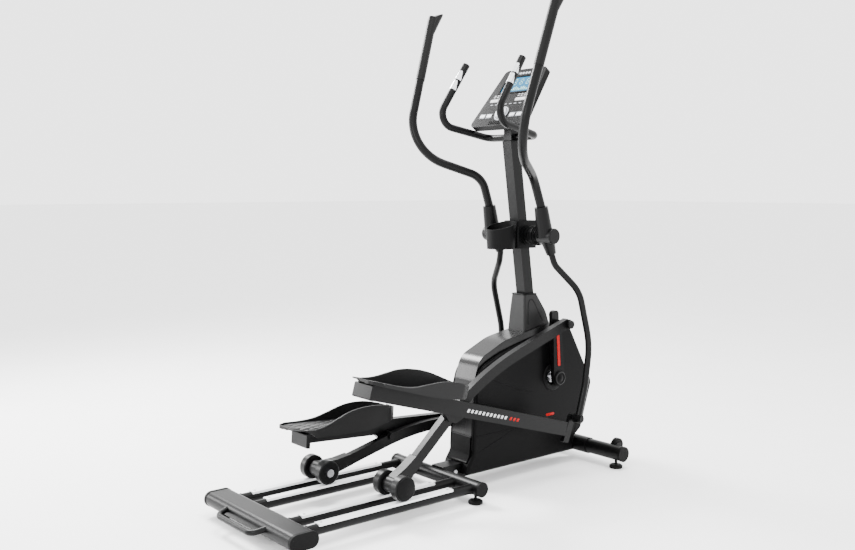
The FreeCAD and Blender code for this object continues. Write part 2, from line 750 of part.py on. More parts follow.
def drive_frame():
    """Two welded plates that hold the crank bearings and the fixed flywheel axle."""
    foot = dim("beam_bottom") + dim("beam_height")
    crank = (dim("crank_x"), dim("crank_z"))
    wheel = (dim("flywheel_x"), dim("flywheel_z"))
    plates = []
    holes = []
    outline = [(220, foot), (590, foot), (crank[0] + 34, crank[1] - 20), (crank[0] + 30, crank[1] + 32),
               (crank[0] - 30, crank[1] + 32), (430, 250), (wheel[0] + 30, wheel[1] + 26),
               (wheel[0] - 26, wheel[1] + 26)]
    for label, side in SIDES.items():
        plates.append(side_body(f"{label}_drive_plate", side, flat(outline, [0, 0, 20, 30, 30, 30, 20, 20]),
                                "dims.drive_plate_y", "dims.drive_plate_thickness"))
        inner = dim("drive_plate_y")
        low, high = span(side, inner - 1, inner + dim("drive_plate_thickness") + 9)
        plates.append(cross_rod(f"{label}_bearing_cup", *crank, low, high, "dims.bearing_outer + 4"))
        low, high = span(side, inner - 2, inner + 20)
        holes.append(cross_rod(f"{label}_cup_bore", *crank, low, high, "dims.bearing_outer"))
    reach = dim("drive_plate_y") + 6
    plates.append(cross_rod("flywheel_axle", *wheel, -reach, reach, "dims.flywheel_axle_radius"))
    low = Vector(440, -dim("drive_plate_y"), foot)
    plates.append(primitive("Box", "drive_tie", Placement(low, Rotation()), Length="140",
                            Width="2 * dims.drive_plate_y", Height="4"))
    body = join("MultiFuse", "drive_body", plates)
    post = mast_prism("drive_post", dim("mast_depth"), dim("mast_width"), foot - 30, foot + 60)
    tools = join("MultiFuse", "drive_tools", holes + [post])
    keep("drive_frame", cut("drive_plates", body, tools))


def crank_bearings():
    """Two ball bearings pressed into the drive frame."""
    rings = []
    centre = (dim("crank_x"), dim("crank_z"))
    for label, side in SIDES.items():
        low, high = span(side, dim("drive_plate_y"), dim("drive_plate_y") + dim("bearing_width"))
        outer = cross_rod(f"{label}_bearing_outer", *centre, low, high, "dims.bearing_outer")
        inner = cross_rod(f"{label}_bearing_inner", *centre, low, high,
                          "dims.crank_axle_radius + dims.running_gap")
        rings.append(cut(f"{label}_bearing", outer, inner))
    keep("crank_bearings", join("Compound", "bearing_group", rings))


def crank_axle():
    """Steel axle between the two crank arms, with a flange for the pulley."""
    half = dim("crank_inner") + dim("crank_thickness")
    rod = cross_rod("axle_rod", dim("crank_x"), dim("crank_z"), -half, half, "dims.crank_axle_radius")
    keep("crank_axle", rod)


def drive_pulley():
    """Large belt pulley, a rim and a web on a hub."""
    radius, width = dim("pulley_radius"), dim("pulley_width")
    bore = dim("crank_axle_radius")
    profile = [(bore, 0), (24, 0), (24, 4), (radius - 10, 4), (radius - 10, 0), (radius, 0)]
    profile += [(radius, width), (radius - 10, width), (radius - 10, 8), (24, 8), (24, width), (bore, width)]
    place = pose((dim("crank_x"), dim("pulley_inner"), dim("crank_z")), Y_AXIS)
    keep("drive_pulley", turned_body("big_pulley", profile, place))


def flywheel():
    """Flywheel disc with a heavy rim and a small belt pulley on one side."""
    half, radius = dim("flywheel_width") / 2, dim("flywheel_radius")
    bore = dim("flywheel_axle_radius") + dim("running_gap")
    belt = dim("pulley_inner")
    small = dim("flywheel_pulley_radius")
    profile = [(bore, -half), (24, -half), (24, -4), (radius - 34, -4), (radius - 34, -half)]
    profile += [(radius, -half), (radius, half), (radius - 34, half), (radius - 34, 4), (16, 4)]
    profile += [(16, belt - 1), (small, belt - 1), (small, belt + dim("pulley_width") + 1)]
    profile += [(bore, belt + dim("pulley_width") + 1)]
    place = pose((dim("flywheel_x"), 0, dim("flywheel_z")), Y_AXIS)
    keep("flywheel", turned_body("flywheel_disc", profile, place))


def belt_loop(gap):
    """Return the closed wire round both pulleys at a distance from their surfaces."""
    big = Vector(dim("crank_x"), dim("crank_z"), 0)
    small = Vector(dim("flywheel_x"), dim("flywheel_z"), 0)
    big_radius, small_radius = dim("pulley_radius") + gap, dim("flywheel_pulley_radius") + gap
    along = (small - big).normalize()
    across = Vector(-along.y, along.x, 0)
    lean = math.acos((big_radius - small_radius) / big.distanceToPoint(small))
    touch = [along * math.cos(lean) + across * math.sin(lean) * hand for hand in (1, -1)]
    big_points = [big + ray * big_radius for ray in touch]
    small_points = [small + ray * small_radius for ray in touch]
    pieces = [Part.Arc(big_points[0], big - along * big_radius, big_points[1])]
    pieces += [Part.LineSegment(big_points[1], small_points[1])]
    pieces += [Part.Arc(small_points[1], small + along * small_radius, small_points[0])]
    pieces += [Part.LineSegment(small_points[0], big_points[0])]
    return Part.Wire([piece.toShape() for piece in pieces])


def drive_belt():
    """Flat ribbed belt round both pulleys, a hair clear of them."""
    loops = []
    for gap in (3.3, 0.3):
        face = Part.Face(belt_loop(gap))
        face.rotate(Vector(), X_AXIS, 90)
        loop = face.extrude(Vector(0, dim("pulley_width") - 1, 0))
        loop.translate(Vector(0, dim("pulley_inner") + 0.5, 0))
        loops.append(loop)
    keep("drive_belt", solid("belt", loops[0].cut(loops[1])))


BRAKE_HINGE = (377, 212)


def brake_magnets():
    """Curved magnet carrier that swings towards the flywheel rim."""
    inner, outer = dim("flywheel_radius") + 4, dim("flywheel_radius") + 20
    centre = Vector(dim("flywheel_x"), -14, dim("flywheel_z"))
    ring = Part.makeCylinder(outer, 28, centre, Y_AXIS).cut(Part.makeCylinder(inner, 28, centre, Y_AXIS))
    window = Part.makeBox(400, 60, 150, Vector(dim("flywheel_x") - 60, -30, dim("flywheel_z") - 200))
    half = dim("drive_plate_y") - 0.2
    hinge = Part.makeCylinder(6, 2 * half, Vector(BRAKE_HINGE[0], -half, BRAKE_HINGE[1]), Y_AXIS)
    keep("brake_magnets", solid("magnet_arc", ring.common(window).fuse(hinge)))


# ---------------------------------------------------------------- cranks, arms and pedals


def crank_pose(side):
    """Return the placement that stands a crank's own +Z along its arm."""
    turn = -dim("crank_lean") if side < 0 else 180 - dim("crank_lean")
    return Placement(Vector(dim("crank_x"), 0, dim("crank_z")), Rotation(Y_AXIS, turn))


def crank_pin_point(side):
    """Return the X and Z of a crank pin."""
    lean = math.radians(dim("crank_lean"))
    throw = dim("crank_throw") * (1 if side < 0 else -1)
    return dim("crank_x") - throw * math.sin(lean), dim("crank_z") + throw * math.cos(lean)


def crank_arms():
    """Steel crank bars and the plastic covers on their outer faces."""
    throw = dim("crank_throw")
    covers = []
    for label, side in SIDES.items():
        bar = flat([(-18, -26), (18, -26), (18, throw + 44), (-18, throw + 44)], [17, 17, 14, 14])
        arm = side_body(f"{label}_crank_bar", side, bar, "dims.crank_inner",
                        "dims.crank_thickness", crank_pose(side))
        low, high = span(side, dim("crank_inner") - 2, dim("crank_inner") + dim("crank_thickness") + 2)
        bore = cross_rod(f"{label}_crank_bore", dim("crank_x"), dim("crank_z"), low, high,
                         "dims.crank_axle_radius")
        pin = local_rod(f"{label}_crank_pin", side, 0, throw, dim("crank_inner") + 4,
                        dim("crank_inner") + dim("crank_thickness") + dim("crank_cover"), "12",
                        crank_pose(side))
        forged = join("MultiFuse", f"{label}_forged", [arm, pin])
        keep(f"{label}_crank_arm", cut(f"{label}_crank", forged, bore))
        outline = flat([(-34, -30), (34, -30), (26, 40), (22, throw - 30), (-22, throw - 30), (-26, 40)],
                       [30, 30, 40, 10, 10, 40])
        covers.append(side_body(f"{label}_crank_cover", side, outline,
                                "dims.crank_inner + dims.crank_thickness",
                                "dims.crank_cover", crank_pose(side)))
    keep("crank_covers", join("Compound", "cover_group", covers))


def arm_pose(side):
    """Return the placement of a roller arm: its own X runs from the axle to the crank pin."""
    pin_x, pin_z = crank_pin_point(side)
    axle_z = dim("strip_top") + dim("roller_radius") + dim("roller_gap")
    rise = pin_z - axle_z
    run = math.sqrt(dim("arm_length") ** 2 - rise ** 2)
    tilt = math.degrees(math.atan2(rise, run))
    return Placement(Vector(pin_x - run, 0, axle_z), Rotation(Y_AXIS, -tilt))


def pivot_point(side):
    """Return where the pedal bar hangs on the roller arm."""
    return arm_pose(side).multVec(Vector(dim("arm_pivot_along"), 0, dim("arm_pivot_up")))


def bar_pose(side):
    """Return the placement of a pedal bar: its own X runs forwards from its pivot."""
    tilt = dim("right_bar_tilt") if side < 0 else dim("left_bar_tilt")
    return Placement(pivot_point(side), Rotation(Y_AXIS, tilt))


def local_rod(name, side, x, z, inner, outer, radius, placement):
    """Add a cylinder along Y in the frame of a moving arm."""
    low, high = span(side, inner, outer)
    rod = cross_rod(name, x, z, low, high, radius)
    rod.Placement = placement.multiply(rod.Placement)
    return rod


def roller_arm(label, side):
    """Bent rectangular tube from the roller axle to the crank pin."""
    place = arm_pose(side)
    depth, wall = dim("arm_depth"), dim("tube_wall")
    centre = [(20, -10.4), (452, 84.6), (dim("arm_length") + 2, 3)]
    bends = [0, 1000, 0]
    inner, width = dim("arm_inner"), dim("arm_width")
    bar = side_body(f"{label}_arm_outer", side, strip_outline(centre, bends, depth),
                    "dims.arm_inner", "dims.arm_width", place)
    hollow = side_body(f"{label}_arm_inner", side, strip_outline(centre, bends, depth - 2 * wall),
                       "dims.arm_inner + dims.tube_wall", "dims.arm_width - 2 * dims.tube_wall", place)
    tube = cut(f"{label}_arm_tube", bar, hollow)
    yoke = flat([(-16, -25), (20, -27), (122, -5), (112, 31), (60, 25), (-16, 25)], [16, 20, 4, 4, 20, 16])
    pieces = [tube, side_body(f"{label}_yoke", side, yoke, f"{inner - 5}", f"{width + 10}", place)]
    along, up = dim("arm_pivot_along"), dim("arm_pivot_up")
    pieces.append(local_rod(f"{label}_axle_boss", side, 0, 0, inner - 11, inner + width + 14, "26", place))
    pieces.append(local_rod(f"{label}_pivot_boss", side, along, up, inner - 1, inner + width + 1.5,
                            "16", place))
    length = dim("arm_length")
    crank_face = dim("crank_inner") + dim("crank_thickness") + dim("crank_cover") + 0.6
    outer = inner + width
    for name, start, end, radius in (("boss", inner - 4, outer + 2, 18), ("stub", crank_face, inner, 12),
                                     ("neck", outer, outer + 7, 13), ("cap", outer + 6, outer + 13, 15)):
        pieces.append(local_rod(f"{label}_pin_{name}", side, length, 0, start, end, f"{radius}", place))
    body = join("MultiFuse", f"{label}_arm_body", pieces)
    bores = [local_rod(f"{label}_axle_bore", side, 0, 0, inner - 20, inner + width + 20,
                       "dims.roller_axle_radius + dims.running_gap", place)]
    bores.append(local_rod(f"{label}_pivot_bore", side, along, up, inner - 20, inner + width + 20,
                           "dims.pivot_pin_radius + dims.running_gap", place))
    keep(f"{label}_roller_arm", cut(f"{label}_arm", body, join("MultiFuse", f"{label}_arm_bores", bores)))


def roller_axle(label, side):
    """Axle that carries two rollers and the end of the roller arm, with a clip at each end."""
    place = Placement(arm_pose(side).Base, Rotation())
    rod = local_rod(f"{label}_roller_rod", side, 0, 0, 83, 213, "dims.roller_axle_radius", place)
    clip = local_rod(f"{label}_roller_clip", side, 0, 0, 80, 86.7, "13", place)
    keep(f"{label}_roller_axle", join("MultiFuse", f"{label}_roller_shaft", [rod, clip]))


def rollers(label, side):
    """Two rubber-tyred rollers that run on the strips."""
    radius, half = dim("roller_radius"), dim("roller_width") / 2
    bore = dim("roller_axle_radius") + dim("running_gap")
    profile = [(bore, -half), (radius - 3, -half), (radius, -half + 3), (radius, half - 3)]
    profile += [(radius - 3, half), (bore, half)]
    base = arm_pose(side).Base
    wheels = []
    for rail in ("inner_rail_y", "outer_rail_y"):
        place = pose((base.x, side * dim(rail), base.z), Y_AXIS)
        wheels.append(turned_body(f"{label}_{rail}_wheel", profile, place))
    keep(f"{label}_rollers", join("Compound", f"{label}_roller_group", wheels))


def pedal_bar(label, side):
    """Rectangular tube that hangs on the roller arm and links to the swing arm."""
    place = bar_pose(side)
    half, offset, wall = dim("bar_depth") / 2, dim("bar_offset"), dim("tube_wall")
    rear, front = dim("bar_rear"), dim("bar_front")
    inner, width = dim("bar_inner"), dim("bar_width")
    box = flat([(rear, offset - half), (front, offset - half), (front, offset + half), (rear, offset + half)])
    outer = side_body(f"{label}_bar_outer", side, box, "dims.bar_inner", "dims.bar_width", place)
    box = flat([(rear - 1, offset - half + wall), (front - 4, offset - half + wall),
                (front - 4, offset + half - wall), (rear - 1, offset + half - wall)])
    core = side_body(f"{label}_bar_core", side, box, "dims.bar_inner + dims.tube_wall",
                     "dims.bar_width - 2 * dims.tube_wall", place)
    tube = cut(f"{label}_bar_tube", outer, core)
    lug = flat([(-46, offset - half + 1), (-16, -20), (16, -20), (46, offset - half + 1)], [0, 18, 18, 0])
    pieces = [tube, side_body(f"{label}_pivot_lug", side, lug, f"{inner - 6}", f"{width / 2 + 6}", place)]
    arm_inner = dim("arm_inner")
    pieces.append(local_rod(f"{label}_pivot_pin", side, 0, 0, arm_inner - 7.5, inner,
                            "dims.pivot_pin_radius", place))
    pieces.append(local_rod(f"{label}_pivot_head", side, 0, 0, arm_inner - 7.5, arm_inner - 1.5,
                            "12", place))
    up = dim("link_up")
    link = flat([(front - 3, -20), (front + 24, -20), (front + 34, up), (front + 20, up + 16),
                 (front + 6, up + 4)], [3, 6, 10, 12, 6])
    pieces.append(side_body(f"{label}_link_plate", side, link, f"{inner + 16}", f"{width - 16}", place))
    pieces.append(local_rod(f"{label}_link_stub", side, dim("link_along"), up, inner + 16,
                            dim("link_inner") - 0.6, "9", place))
    end = flat([(rear - 14, offset - half - 1), (rear + 0.5, offset - half - 1),
                (rear + 0.5, offset + half - 4), (rear - 14, offset + half - 4)], [5, 0, 0, 5])
    pieces.append(side_body(f"{label}_end_plate", side, end, f"{inner - 62}", f"{width + 62}", place))
    keep(f"{label}_pedal_bar", join("MultiFuse", f"{label}_bar", pieces))


def pedal(label, side):
    """Dished foot plate with a skirt that hangs round the bar's rear end."""
    place = bar_pose(side)
    low, high = dim("pedal_inner"), dim("pedal_inner") + dim("pedal_width")
    back, front = dim("pedal_rear"), dim("pedal_front")
    base, crown = dim("pedal_base"), dim("pedal_crown")
    plan = [(back, low + 22), (back + 60, low), (front - 40, low), (front, low + 30), (front, high - 30),
            (front - 40, high), (back + 36, high), (back, high - 20)]
    plan = [(x, side * y, base) for x, y in plan]
    bends = [36, 50, 40, 36, 36, 40, 30, 24]
    wire = Part.Wire([piece.toShape() for piece in corner_arcs(plan, bends, True)])
    shape = Part.Face(wire).extrude(Vector(0, 0, crown - base))
    inner_wire = wire.makeOffset2D(-dim("pedal_wall"))
    floor = dim("pedal_floor")
    deck = dim("bar_offset") + dim("bar_depth") / 2 + 0.5
    dish = Part.Face(inner_wire).extrude(Vector(0, 0, crown))
    under = Part.Face(inner_wire).extrude(Vector(0, 0, deck - base))
    dish.translate(Vector(0, 0, floor - base))
    toe = Part.makeBox(160, 400, 60, Vector(-104, -200, -60))
    toe.Placement = Placement(Vector(-104, 0, floor), Rotation(Y_AXIS, -14)).multiply(
        Placement(Vector(104, 0, 0), Rotation()))
    dish = dish.cut(toe)
    middle = (low + high) / 2
    inner_rim = ((back, 61), (-340, 62), (-306, 66), (-225, 103), (-150, 121), (-82, 123), (front, 104))
    outer_rim = ((back, 61), (-330, 62), (-250, 66), (-195, 84), (-126, 105), (-60, 110), (front, 102))
    tools = [dish, under, pedal_trim(side, middle, high + 20, outer_rim, crown + 40),
             pedal_trim(side, low - 20, middle, inner_rim, crown + 40)]
    inner_skirt = ((back - 5, 52), (-352, 50), (-334, 39), (-200, 38), (-119, 42), (-60, 56), (front, 70))
    outer_skirt = ((back - 5, 52), (-352, 51), (-280, 50.5), (-119, 52), (-60, 58), (front, 70))
    tools.append(pedal_trim(side, low - 20, middle, inner_skirt, base - 20))
    tools.append(pedal_trim(side, middle, high + 20, outer_skirt, base - 20))
    notch = dim("bar_inner") - 2, dim("bar_inner") + dim("bar_width") + 2
    start, stop = span(side, *notch)
    tools.append(Part.makeBox(460, stop - start, deck - base + 20, Vector(-420, start, base - 20)))
    shape = shape.cut(tools)
    keep(f"{label}_pedal", solid(f"{label}_dish", shape, place))


def pedal_trim(side, low, high, rim, level):
    """Return the block between a pedal's rim line and a level, between two distances outwards."""
    points = [Vector(x, 0, z) for x, z in rim]
    points[0].x -= 8
    points[-1].x += 8
    spline = Part.BSplineCurve()
    spline.interpolate(points)
    far = Vector(points[-1].x, 0, level)
    near = Vector(points[0].x, 0, level)
    edges = [spline.toShape(), Part.makeLine(points[-1], far), Part.makeLine(far, near)]
    edges.append(Part.makeLine(near, points[0]))
    face = Part.Face(Part.Wire(edges))
    start, stop = span(side, low, high)
    face.translate(Vector(0, start, 0))
    return face.extrude(Vector(0, stop - start, 0))


# ---------------------------------------------------------------- swing arms and handles


def swing_pose(side):
    """Return the small turn about the hub that sets one swing arm ahead of the other."""
    turn = Rotation(Y_AXIS, side * dim("swing_lead"))
    hub = Vector(dim("hub_x"), 0, dim("hub_z"))
    return Placement(hub - turn.multVec(hub), turn)


def sided(points, side):
    """Put points drawn for the left side on the given side."""
    return points if side > 0 else mirrored(points)


HANDLE_POINTS = [(404, 134, 908), (391, 134, 974), (353, 134, 1077), (119, 290, 1171), (269, 326, 1670)]
HANDLE_BENDS = [0, 30, 85, 165, 0]


def upper_handlebar(label, side):
    """Bent tube from the hub sleeve to the hand grip, and the grip over its top."""
    points = sided(HANDLE_POINTS, side)
    radius = dim("handle_radius")
    tube = bent_tube(points, HANDLE_BENDS, radius, dim("tube_wall"))
    place = swing_pose(side)
    keep(f"{label}_handlebar", solid(f"{label}_handle_tube", tube, place))
    top = Vector(*points[-1])
    along = (top - Vector(*points[-2])).normalize()
    grip = Part.makeCylinder(dim("grip_radius"), 262, top - along * 250, along)
    flare_line = (along + X_AXIS * 0.32).normalize()
    flare = Part.makeCylinder(dim("grip_radius"), 90, top - along * 62, flare_line)
    slant = Part.makeBox(200, 120, 80, Vector(-100, -60, 0))
    slant.Placement = Placement(top + Vector(0, 0, 1), Rotation(Y_AXIS, -23))
    grip = grip.fuse(flare).cut(slant)
    bore = radius + dim("running_gap")
    grip = grip.cut(Part.makeCylinder(bore, 250.2, top - along * 250.1, along))
    keep(f"{label}_grip", solid(f"{label}_hand_grip", grip, place))


def pivot_sleeve(label, side):
    """Barrel on the pivot axle with a tapered socket above and a stub below."""
    hub = Vector(dim("hub_x"), side * 134, dim("hub_z"))
    low, high = span(side, dim("hub_inner"), dim("hub_outer"))
    barrel = Part.makeCylinder(dim("hub_radius"), high - low, Vector(hub.x, low, hub.z), Y_AXIS)
    outer_end = [edge for edge in barrel.Edges
                 if abs(edge.CenterOfMass.y - side * dim("hub_outer")) < 1e-3 and len(edge.Vertexes) == 1]
    barrel = barrel.makeFillet(5, outer_end)
    points = [Vector(*point) for point in sided(HANDLE_POINTS, side)]
    along = (points[1] - points[0]).normalize()
    foot = points[0] - along * 40
    socket = Part.makeCone(30, 23.5, 106, foot, along)
    down = Vector(*sided([(449, 129, 806)], side)[0])
    stub_line = (down - hub).normalize()
    stub = Part.makeCone(27, 17.5, down.distanceToPoint(hub), hub, stub_line)
    shape = barrel.fuse([socket, stub])
    bore = dim("hub_axle_radius") + dim("running_gap")
    shape = shape.cut(Part.makeCylinder(bore, 70, Vector(hub.x, side * 99, hub.z), Y_AXIS * side))
    shape = shape.cut(Part.makeCylinder(dim("handle_radius"), 80, points[0], along))
    tube_path = path_wire(sided(SWING_POINTS, side), SWING_BENDS)
    shape = shape.cut(sweep_disc(tube_path, dim("swing_tube_radius") + dim("running_gap")))
    keep(f"{label}_pivot_sleeve", solid(f"{label}_sleeve", shape, swing_pose(side)))


LINK_X = 494.7
LINK_Z = 216.1
SWING_POINTS = [(437.1, 131, 831.3), (449, 129, 806), (455, 140, 765), (498, 219, 673), (553, 219, 478),
                (530, 219, 330), (LINK_X, 219, LINK_Z)]
SWING_BENDS = [0, 40, 60, 110, 250, 150, 0]


def lower_swing_arm(label, side):
    """Bent tube from the hub to the link barrel that the pedal bar hangs beside."""
    points = sided(SWING_POINTS, side)
    tube = bent_tube(points, SWING_BENDS, dim("swing_tube_radius"), dim("tube_wall"))
    inner, outer = dim("link_inner"), dim("link_inner") + dim("link_width")
    low, high = span(side, inner, outer)
    barrel = Part.makeCylinder(dim("link_radius"), high - low, Vector(LINK_X, low, LINK_Z), Y_AXIS)
    cap_low, cap_high = span(side, outer, outer + 5)
    cap = Part.makeCylinder(11, cap_high - cap_low, Vector(LINK_X, cap_low, LINK_Z), Y_AXIS)
    keep(f"{label}_lower_arm", solid(f"{label}_swing_tube", tube.fuse([barrel, cap]), swing_pose(side)))


# ---------------------------------------------------------------- handlebar and console

FIXED_CORNER = (380, 121, 1219)
FIXED_BEND = (144, 150, 1267)
FIXED_TIP = (284, 142, 1479)


def fixed_handlebar():
    """One bent tube on top of the mast with an upturned grip at each end."""
    half = [FIXED_TIP, FIXED_BEND, FIXED_CORNER]
    points = half + mirrored(half[::-1])
    tube = bent_tube(points, [0, 50, 35, 35, 50, 0], dim("fixed_bar_radius"), dim("tube_wall"))
    keep("fixed_handlebar", solid("fixed_bar", tube))


def pulse_plates():
    """Two half-round metal sensor plates on each fixed grip."""
    plates = []
    radius = dim("fixed_bar_radius")
    for side in SIDES.values():
        tip = Vector(*sided([FIXED_TIP], side)[0])
        along = (tip - Vector(*sided([FIXED_BEND], side)[0])).normalize()
        facing = Vector(-1, 0, 0.3)
        for start in (34, 76):
            base = tip - along * (start + 36)
            ring = Part.makeCylinder(radius + 1.4, 36, base, along)
            ring = ring.cut(Part.makeCylinder(radius, 36, base, along))
            block = Part.makeBox(80, 80, 80, Vector(-40, -40, 4))
            block.Placement = Placement(base + along * 18, Rotation(Z_AXIS, facing)).multiply(block.Placement)
            plates.append(ring.common(block))
    keep("pulse_plates", solid("sensor_plates", Part.makeCompound(plates)))


def console_pose():
    """Return the console's frame: X to the user's right, Y up the face, Z out of the face."""
    lean = math.radians(dim("console_lean"))
    up = Vector(math.sin(lean), 0, math.cos(lean))
    right = Vector(0, -1, 0)
    turn = Rotation(right, up, right.cross(up), "XYZ")
    return Placement(Vector(dim("console_x"), 0, dim("console_z")), turn)


def console_outline(inset):
    """Return the console's face outline, moved inwards by an inset."""
    low, top = dim("console_bottom_half") - inset, dim("console_top_half") - inset
    height = dim("console_height")
    points = [(-low, inset), (low, inset), (top, height - inset), (-top, height - inset)]
    return flat(points, [22, 22, 16, 16])


BUTTONS = {"left_outer": -92, "left_inner": -58, "right_inner": 58, "right_outer": 92}
BUTTON_ROW = 48
DIAL_ROW = 56
SCREEN = (-70, 156, 70, 224)


def console_shell():
    """Rear shell and face of the console, with openings for the keys, dial and screen."""
    place = console_pose()
    back_depth, face_depth = "dims.console_back_depth", "dims.console_face_depth"
    outer = pad_body("console_outer", "XY_Plane", console_outline(0), back_depth,
                     f"-({back_depth}) - ({face_depth})", place)
    core = pad_body("console_core", "XY_Plane", console_outline(3), back_depth,
                    f"-({back_depth}) - ({face_depth}) + 3", place)
    keep("console_back", cut("console_rear", outer, core))
    face = pad_body("console_front", "XY_Plane", console_outline(0), face_depth,
                    f"-({face_depth})", place)
    tools = []
    for label, x in BUTTONS.items():
        hole = flat([(x - 12.5, BUTTON_ROW - 6.5), (x + 12.5, BUTTON_ROW - 6.5),
                     (x + 12.5, BUTTON_ROW + 6.5), (x - 12.5, BUTTON_ROW + 6.5)], 3.5)
        tools.append(pad_body(f"hole_{label}", "XY_Plane", hole, "12", "-10", place))
    tools.append(pad_body("hole_dial", "XY_Plane", ring_pieces(0, DIAL_ROW, 6.2), "12", "-10", place))
    left, low, right, high = SCREEN
    window = flat([(left, low), (right, low), (right, high), (left, high)], 3)
    tools.append(pad_body("hole_screen", "XY_Plane", window, "3", "-2", place))
    keep("console_face", cut("console_panel", face, join("MultiFuse", "panel_tools", tools)))
    screen = pad_body("lcd", "XY_Plane", flat([(left + 0.3, low + 0.3), (right - 0.3, low + 0.3),
                                               (right - 0.3, high - 0.3), (left + 0.3, high - 0.3)], 3),
                      "1.6", "-2", place)
    keep("console_screen", screen)


def console_keys():
    """Four keys and a round dial on the console's face."""
    place = console_pose()
    for label, x in BUTTONS.items():
        key = flat([(x - 12, BUTTON_ROW - 6), (x + 12, BUTTON_ROW - 6), (x + 12, BUTTON_ROW + 6),
                    (x - 12, BUTTON_ROW + 6)], 3)
        keep(f"key_{label}", pad_body(f"cap_{label}", "XY_Plane", key, "6", "-4.5", place))
    profile = [(0, -7), (6, -7), (6, 1), (23, 1), (23, 7), (20, 11), (0, 11)]
    dial = turned_body("dial_knob", profile, place.multiply(Placement(Vector(0, DIAL_ROW, 0), Rotation())))
    keep("console_dial", dial)


def console_bracket():
    """Saddle on the mast's top that clamps the fixed handlebar and carries the console."""
    top = dim("mast_top")
    corner = Vector(*FIXED_CORNER)
    outline = [(mast_x(top) - 17, top - 3), (mast_x(top) + 19, top - 3), (corner.x + 22, corner.z - 8),
               (corner.x + 24, corner.z + 18), (corner.x + 6, corner.z + 50), (corner.x - 26, corner.z + 28)]
    block = middle_body("saddle_block", flat(outline, [3, 3, 8, 8, 6, 6]), "19")
    grip = cross_rod("saddle_bore", corner.x, corner.z, -30, 30,
                     "dims.fixed_bar_radius + dims.running_gap")
    lip = pad_body("saddle_trim", "XY_Plane", console_outline(-20), "60",
                   "-dims.console_back_depth - dims.console_face_depth", console_pose())
    return cut("console_saddle", block, join("MultiFuse", "saddle_tools", [grip, lip]))


def power_inlet():
    """Round low-voltage socket on the front of the housing."""
    place = pose((INLET[0] + 2, 0, INLET[1]), X_AXIS)
    profile = [(3, -12), (8, -12), (8, -2), (11, -2), (11, 3), (3, 3)]
    keep("power_inlet", turned_body("inlet_socket", profile, place))


# ---------------------------------------------------------------- build


def build():
    """Make every sub-part."""
    rear_stabilizer()
    front_stabilizer()
    middle_crossbar()
    tube_end_caps()
    feet()
    rail_tubes()
    screws = track_strips()
    main_beam()
    frame_fasteners(screws)
    transport_handle()
    transport_wheels()
    mast()
    pivot_axle()
    hub_bushes()
    cup_holder()
    for label, side in SIDES.items():
        housing_shell(label, side)
    spine_cover()
    rear_lower_cover()
    mast_boot()
    drive_frame()
    crank_bearings()
    crank_axle()
    drive_pulley()
    flywheel()
    drive_belt()
    brake_magnets()
    crank_arms()
    for label, side in SIDES.items():
        roller_arm(label, side)
        roller_axle(label, side)
        rollers(label, side)
        pedal_bar(label, side)
        pedal(label, side)
        upper_handlebar(label, side)
        pivot_sleeve(label, side)
        lower_swing_arm(label, side)
    fixed_handlebar()
    pulse_plates()
    console_shell()
    console_keys()
    power_inlet()
    doc.recompute()


def check_and_export():
    """Stop on any failed object or bad shape, then write one STEP file per node."""
    failed = [item.Name for item in doc.Objects if {"Invalid", "Error"} & set(item.State)]
    if failed:
        raise RuntimeError(f"failed objects: {failed}")
    bad = [node for node, item in nodes.items()
           if item.Shape.isNull() or not item.Shape.isValid() or not item.Shape.Solids]
    if bad:
        raise RuntimeError(f"bad shapes: {bad}")
    os.makedirs("parts", exist_ok=True)
    for old in os.listdir("parts"):
        os.remove(os.path.join("parts", old))
    for node, item in nodes.items():
        item.Shape.exportStep(os.path.join("parts", node + ".step"))
    for node, item in nodes.items():
        box = item.Shape.BoundBox
        print(f"{node:24s} solids {len(item.Shape.Solids):2d} volume {item.Shape.Volume / 1000:9.1f} cm3"
              f"  x {box.XMin:7.1f} {box.XMax:7.1f}  y {box.YMin:7.1f} {box.YMax:7.1f}"
              f"  z {box.ZMin:7.1f} {box.ZMax:7.1f}")
    print(len(nodes), "nodes")


fill_sheet()
build()
check_and_export()
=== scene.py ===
"""Looks for the elliptical trainer: finishes for every CAD node, and the trim that the CAD leaves out.

Metres, in the CAD's own frame: +X towards the console, +Y to the user's left, +Z up, the floor at z = 0.
A side of -1 is the user's right and +1 the user's left.
"""
import bmesh
import bpy
import json
import math
from mathutils import Matrix, Vector


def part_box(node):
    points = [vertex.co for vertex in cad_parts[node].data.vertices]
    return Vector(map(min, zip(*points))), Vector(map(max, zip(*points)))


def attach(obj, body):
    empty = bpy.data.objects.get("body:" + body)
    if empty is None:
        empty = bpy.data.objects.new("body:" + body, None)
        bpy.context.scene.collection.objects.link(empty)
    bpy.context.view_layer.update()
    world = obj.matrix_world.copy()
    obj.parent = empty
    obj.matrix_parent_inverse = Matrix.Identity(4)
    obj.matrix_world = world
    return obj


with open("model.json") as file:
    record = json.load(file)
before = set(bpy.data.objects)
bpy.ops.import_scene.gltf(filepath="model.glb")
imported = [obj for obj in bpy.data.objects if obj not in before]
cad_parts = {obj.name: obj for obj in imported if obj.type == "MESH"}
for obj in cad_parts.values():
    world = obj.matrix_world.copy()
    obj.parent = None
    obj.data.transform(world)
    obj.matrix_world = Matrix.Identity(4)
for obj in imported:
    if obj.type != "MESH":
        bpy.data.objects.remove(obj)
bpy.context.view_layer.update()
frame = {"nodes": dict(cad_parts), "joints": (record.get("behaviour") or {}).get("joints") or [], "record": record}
joints = {joint["name"]: joint for joint in frame["joints"]}
MM = 0.001
SIDES = {"right": -1, "left": 1}


# ---------------------------------------------------------------- materials


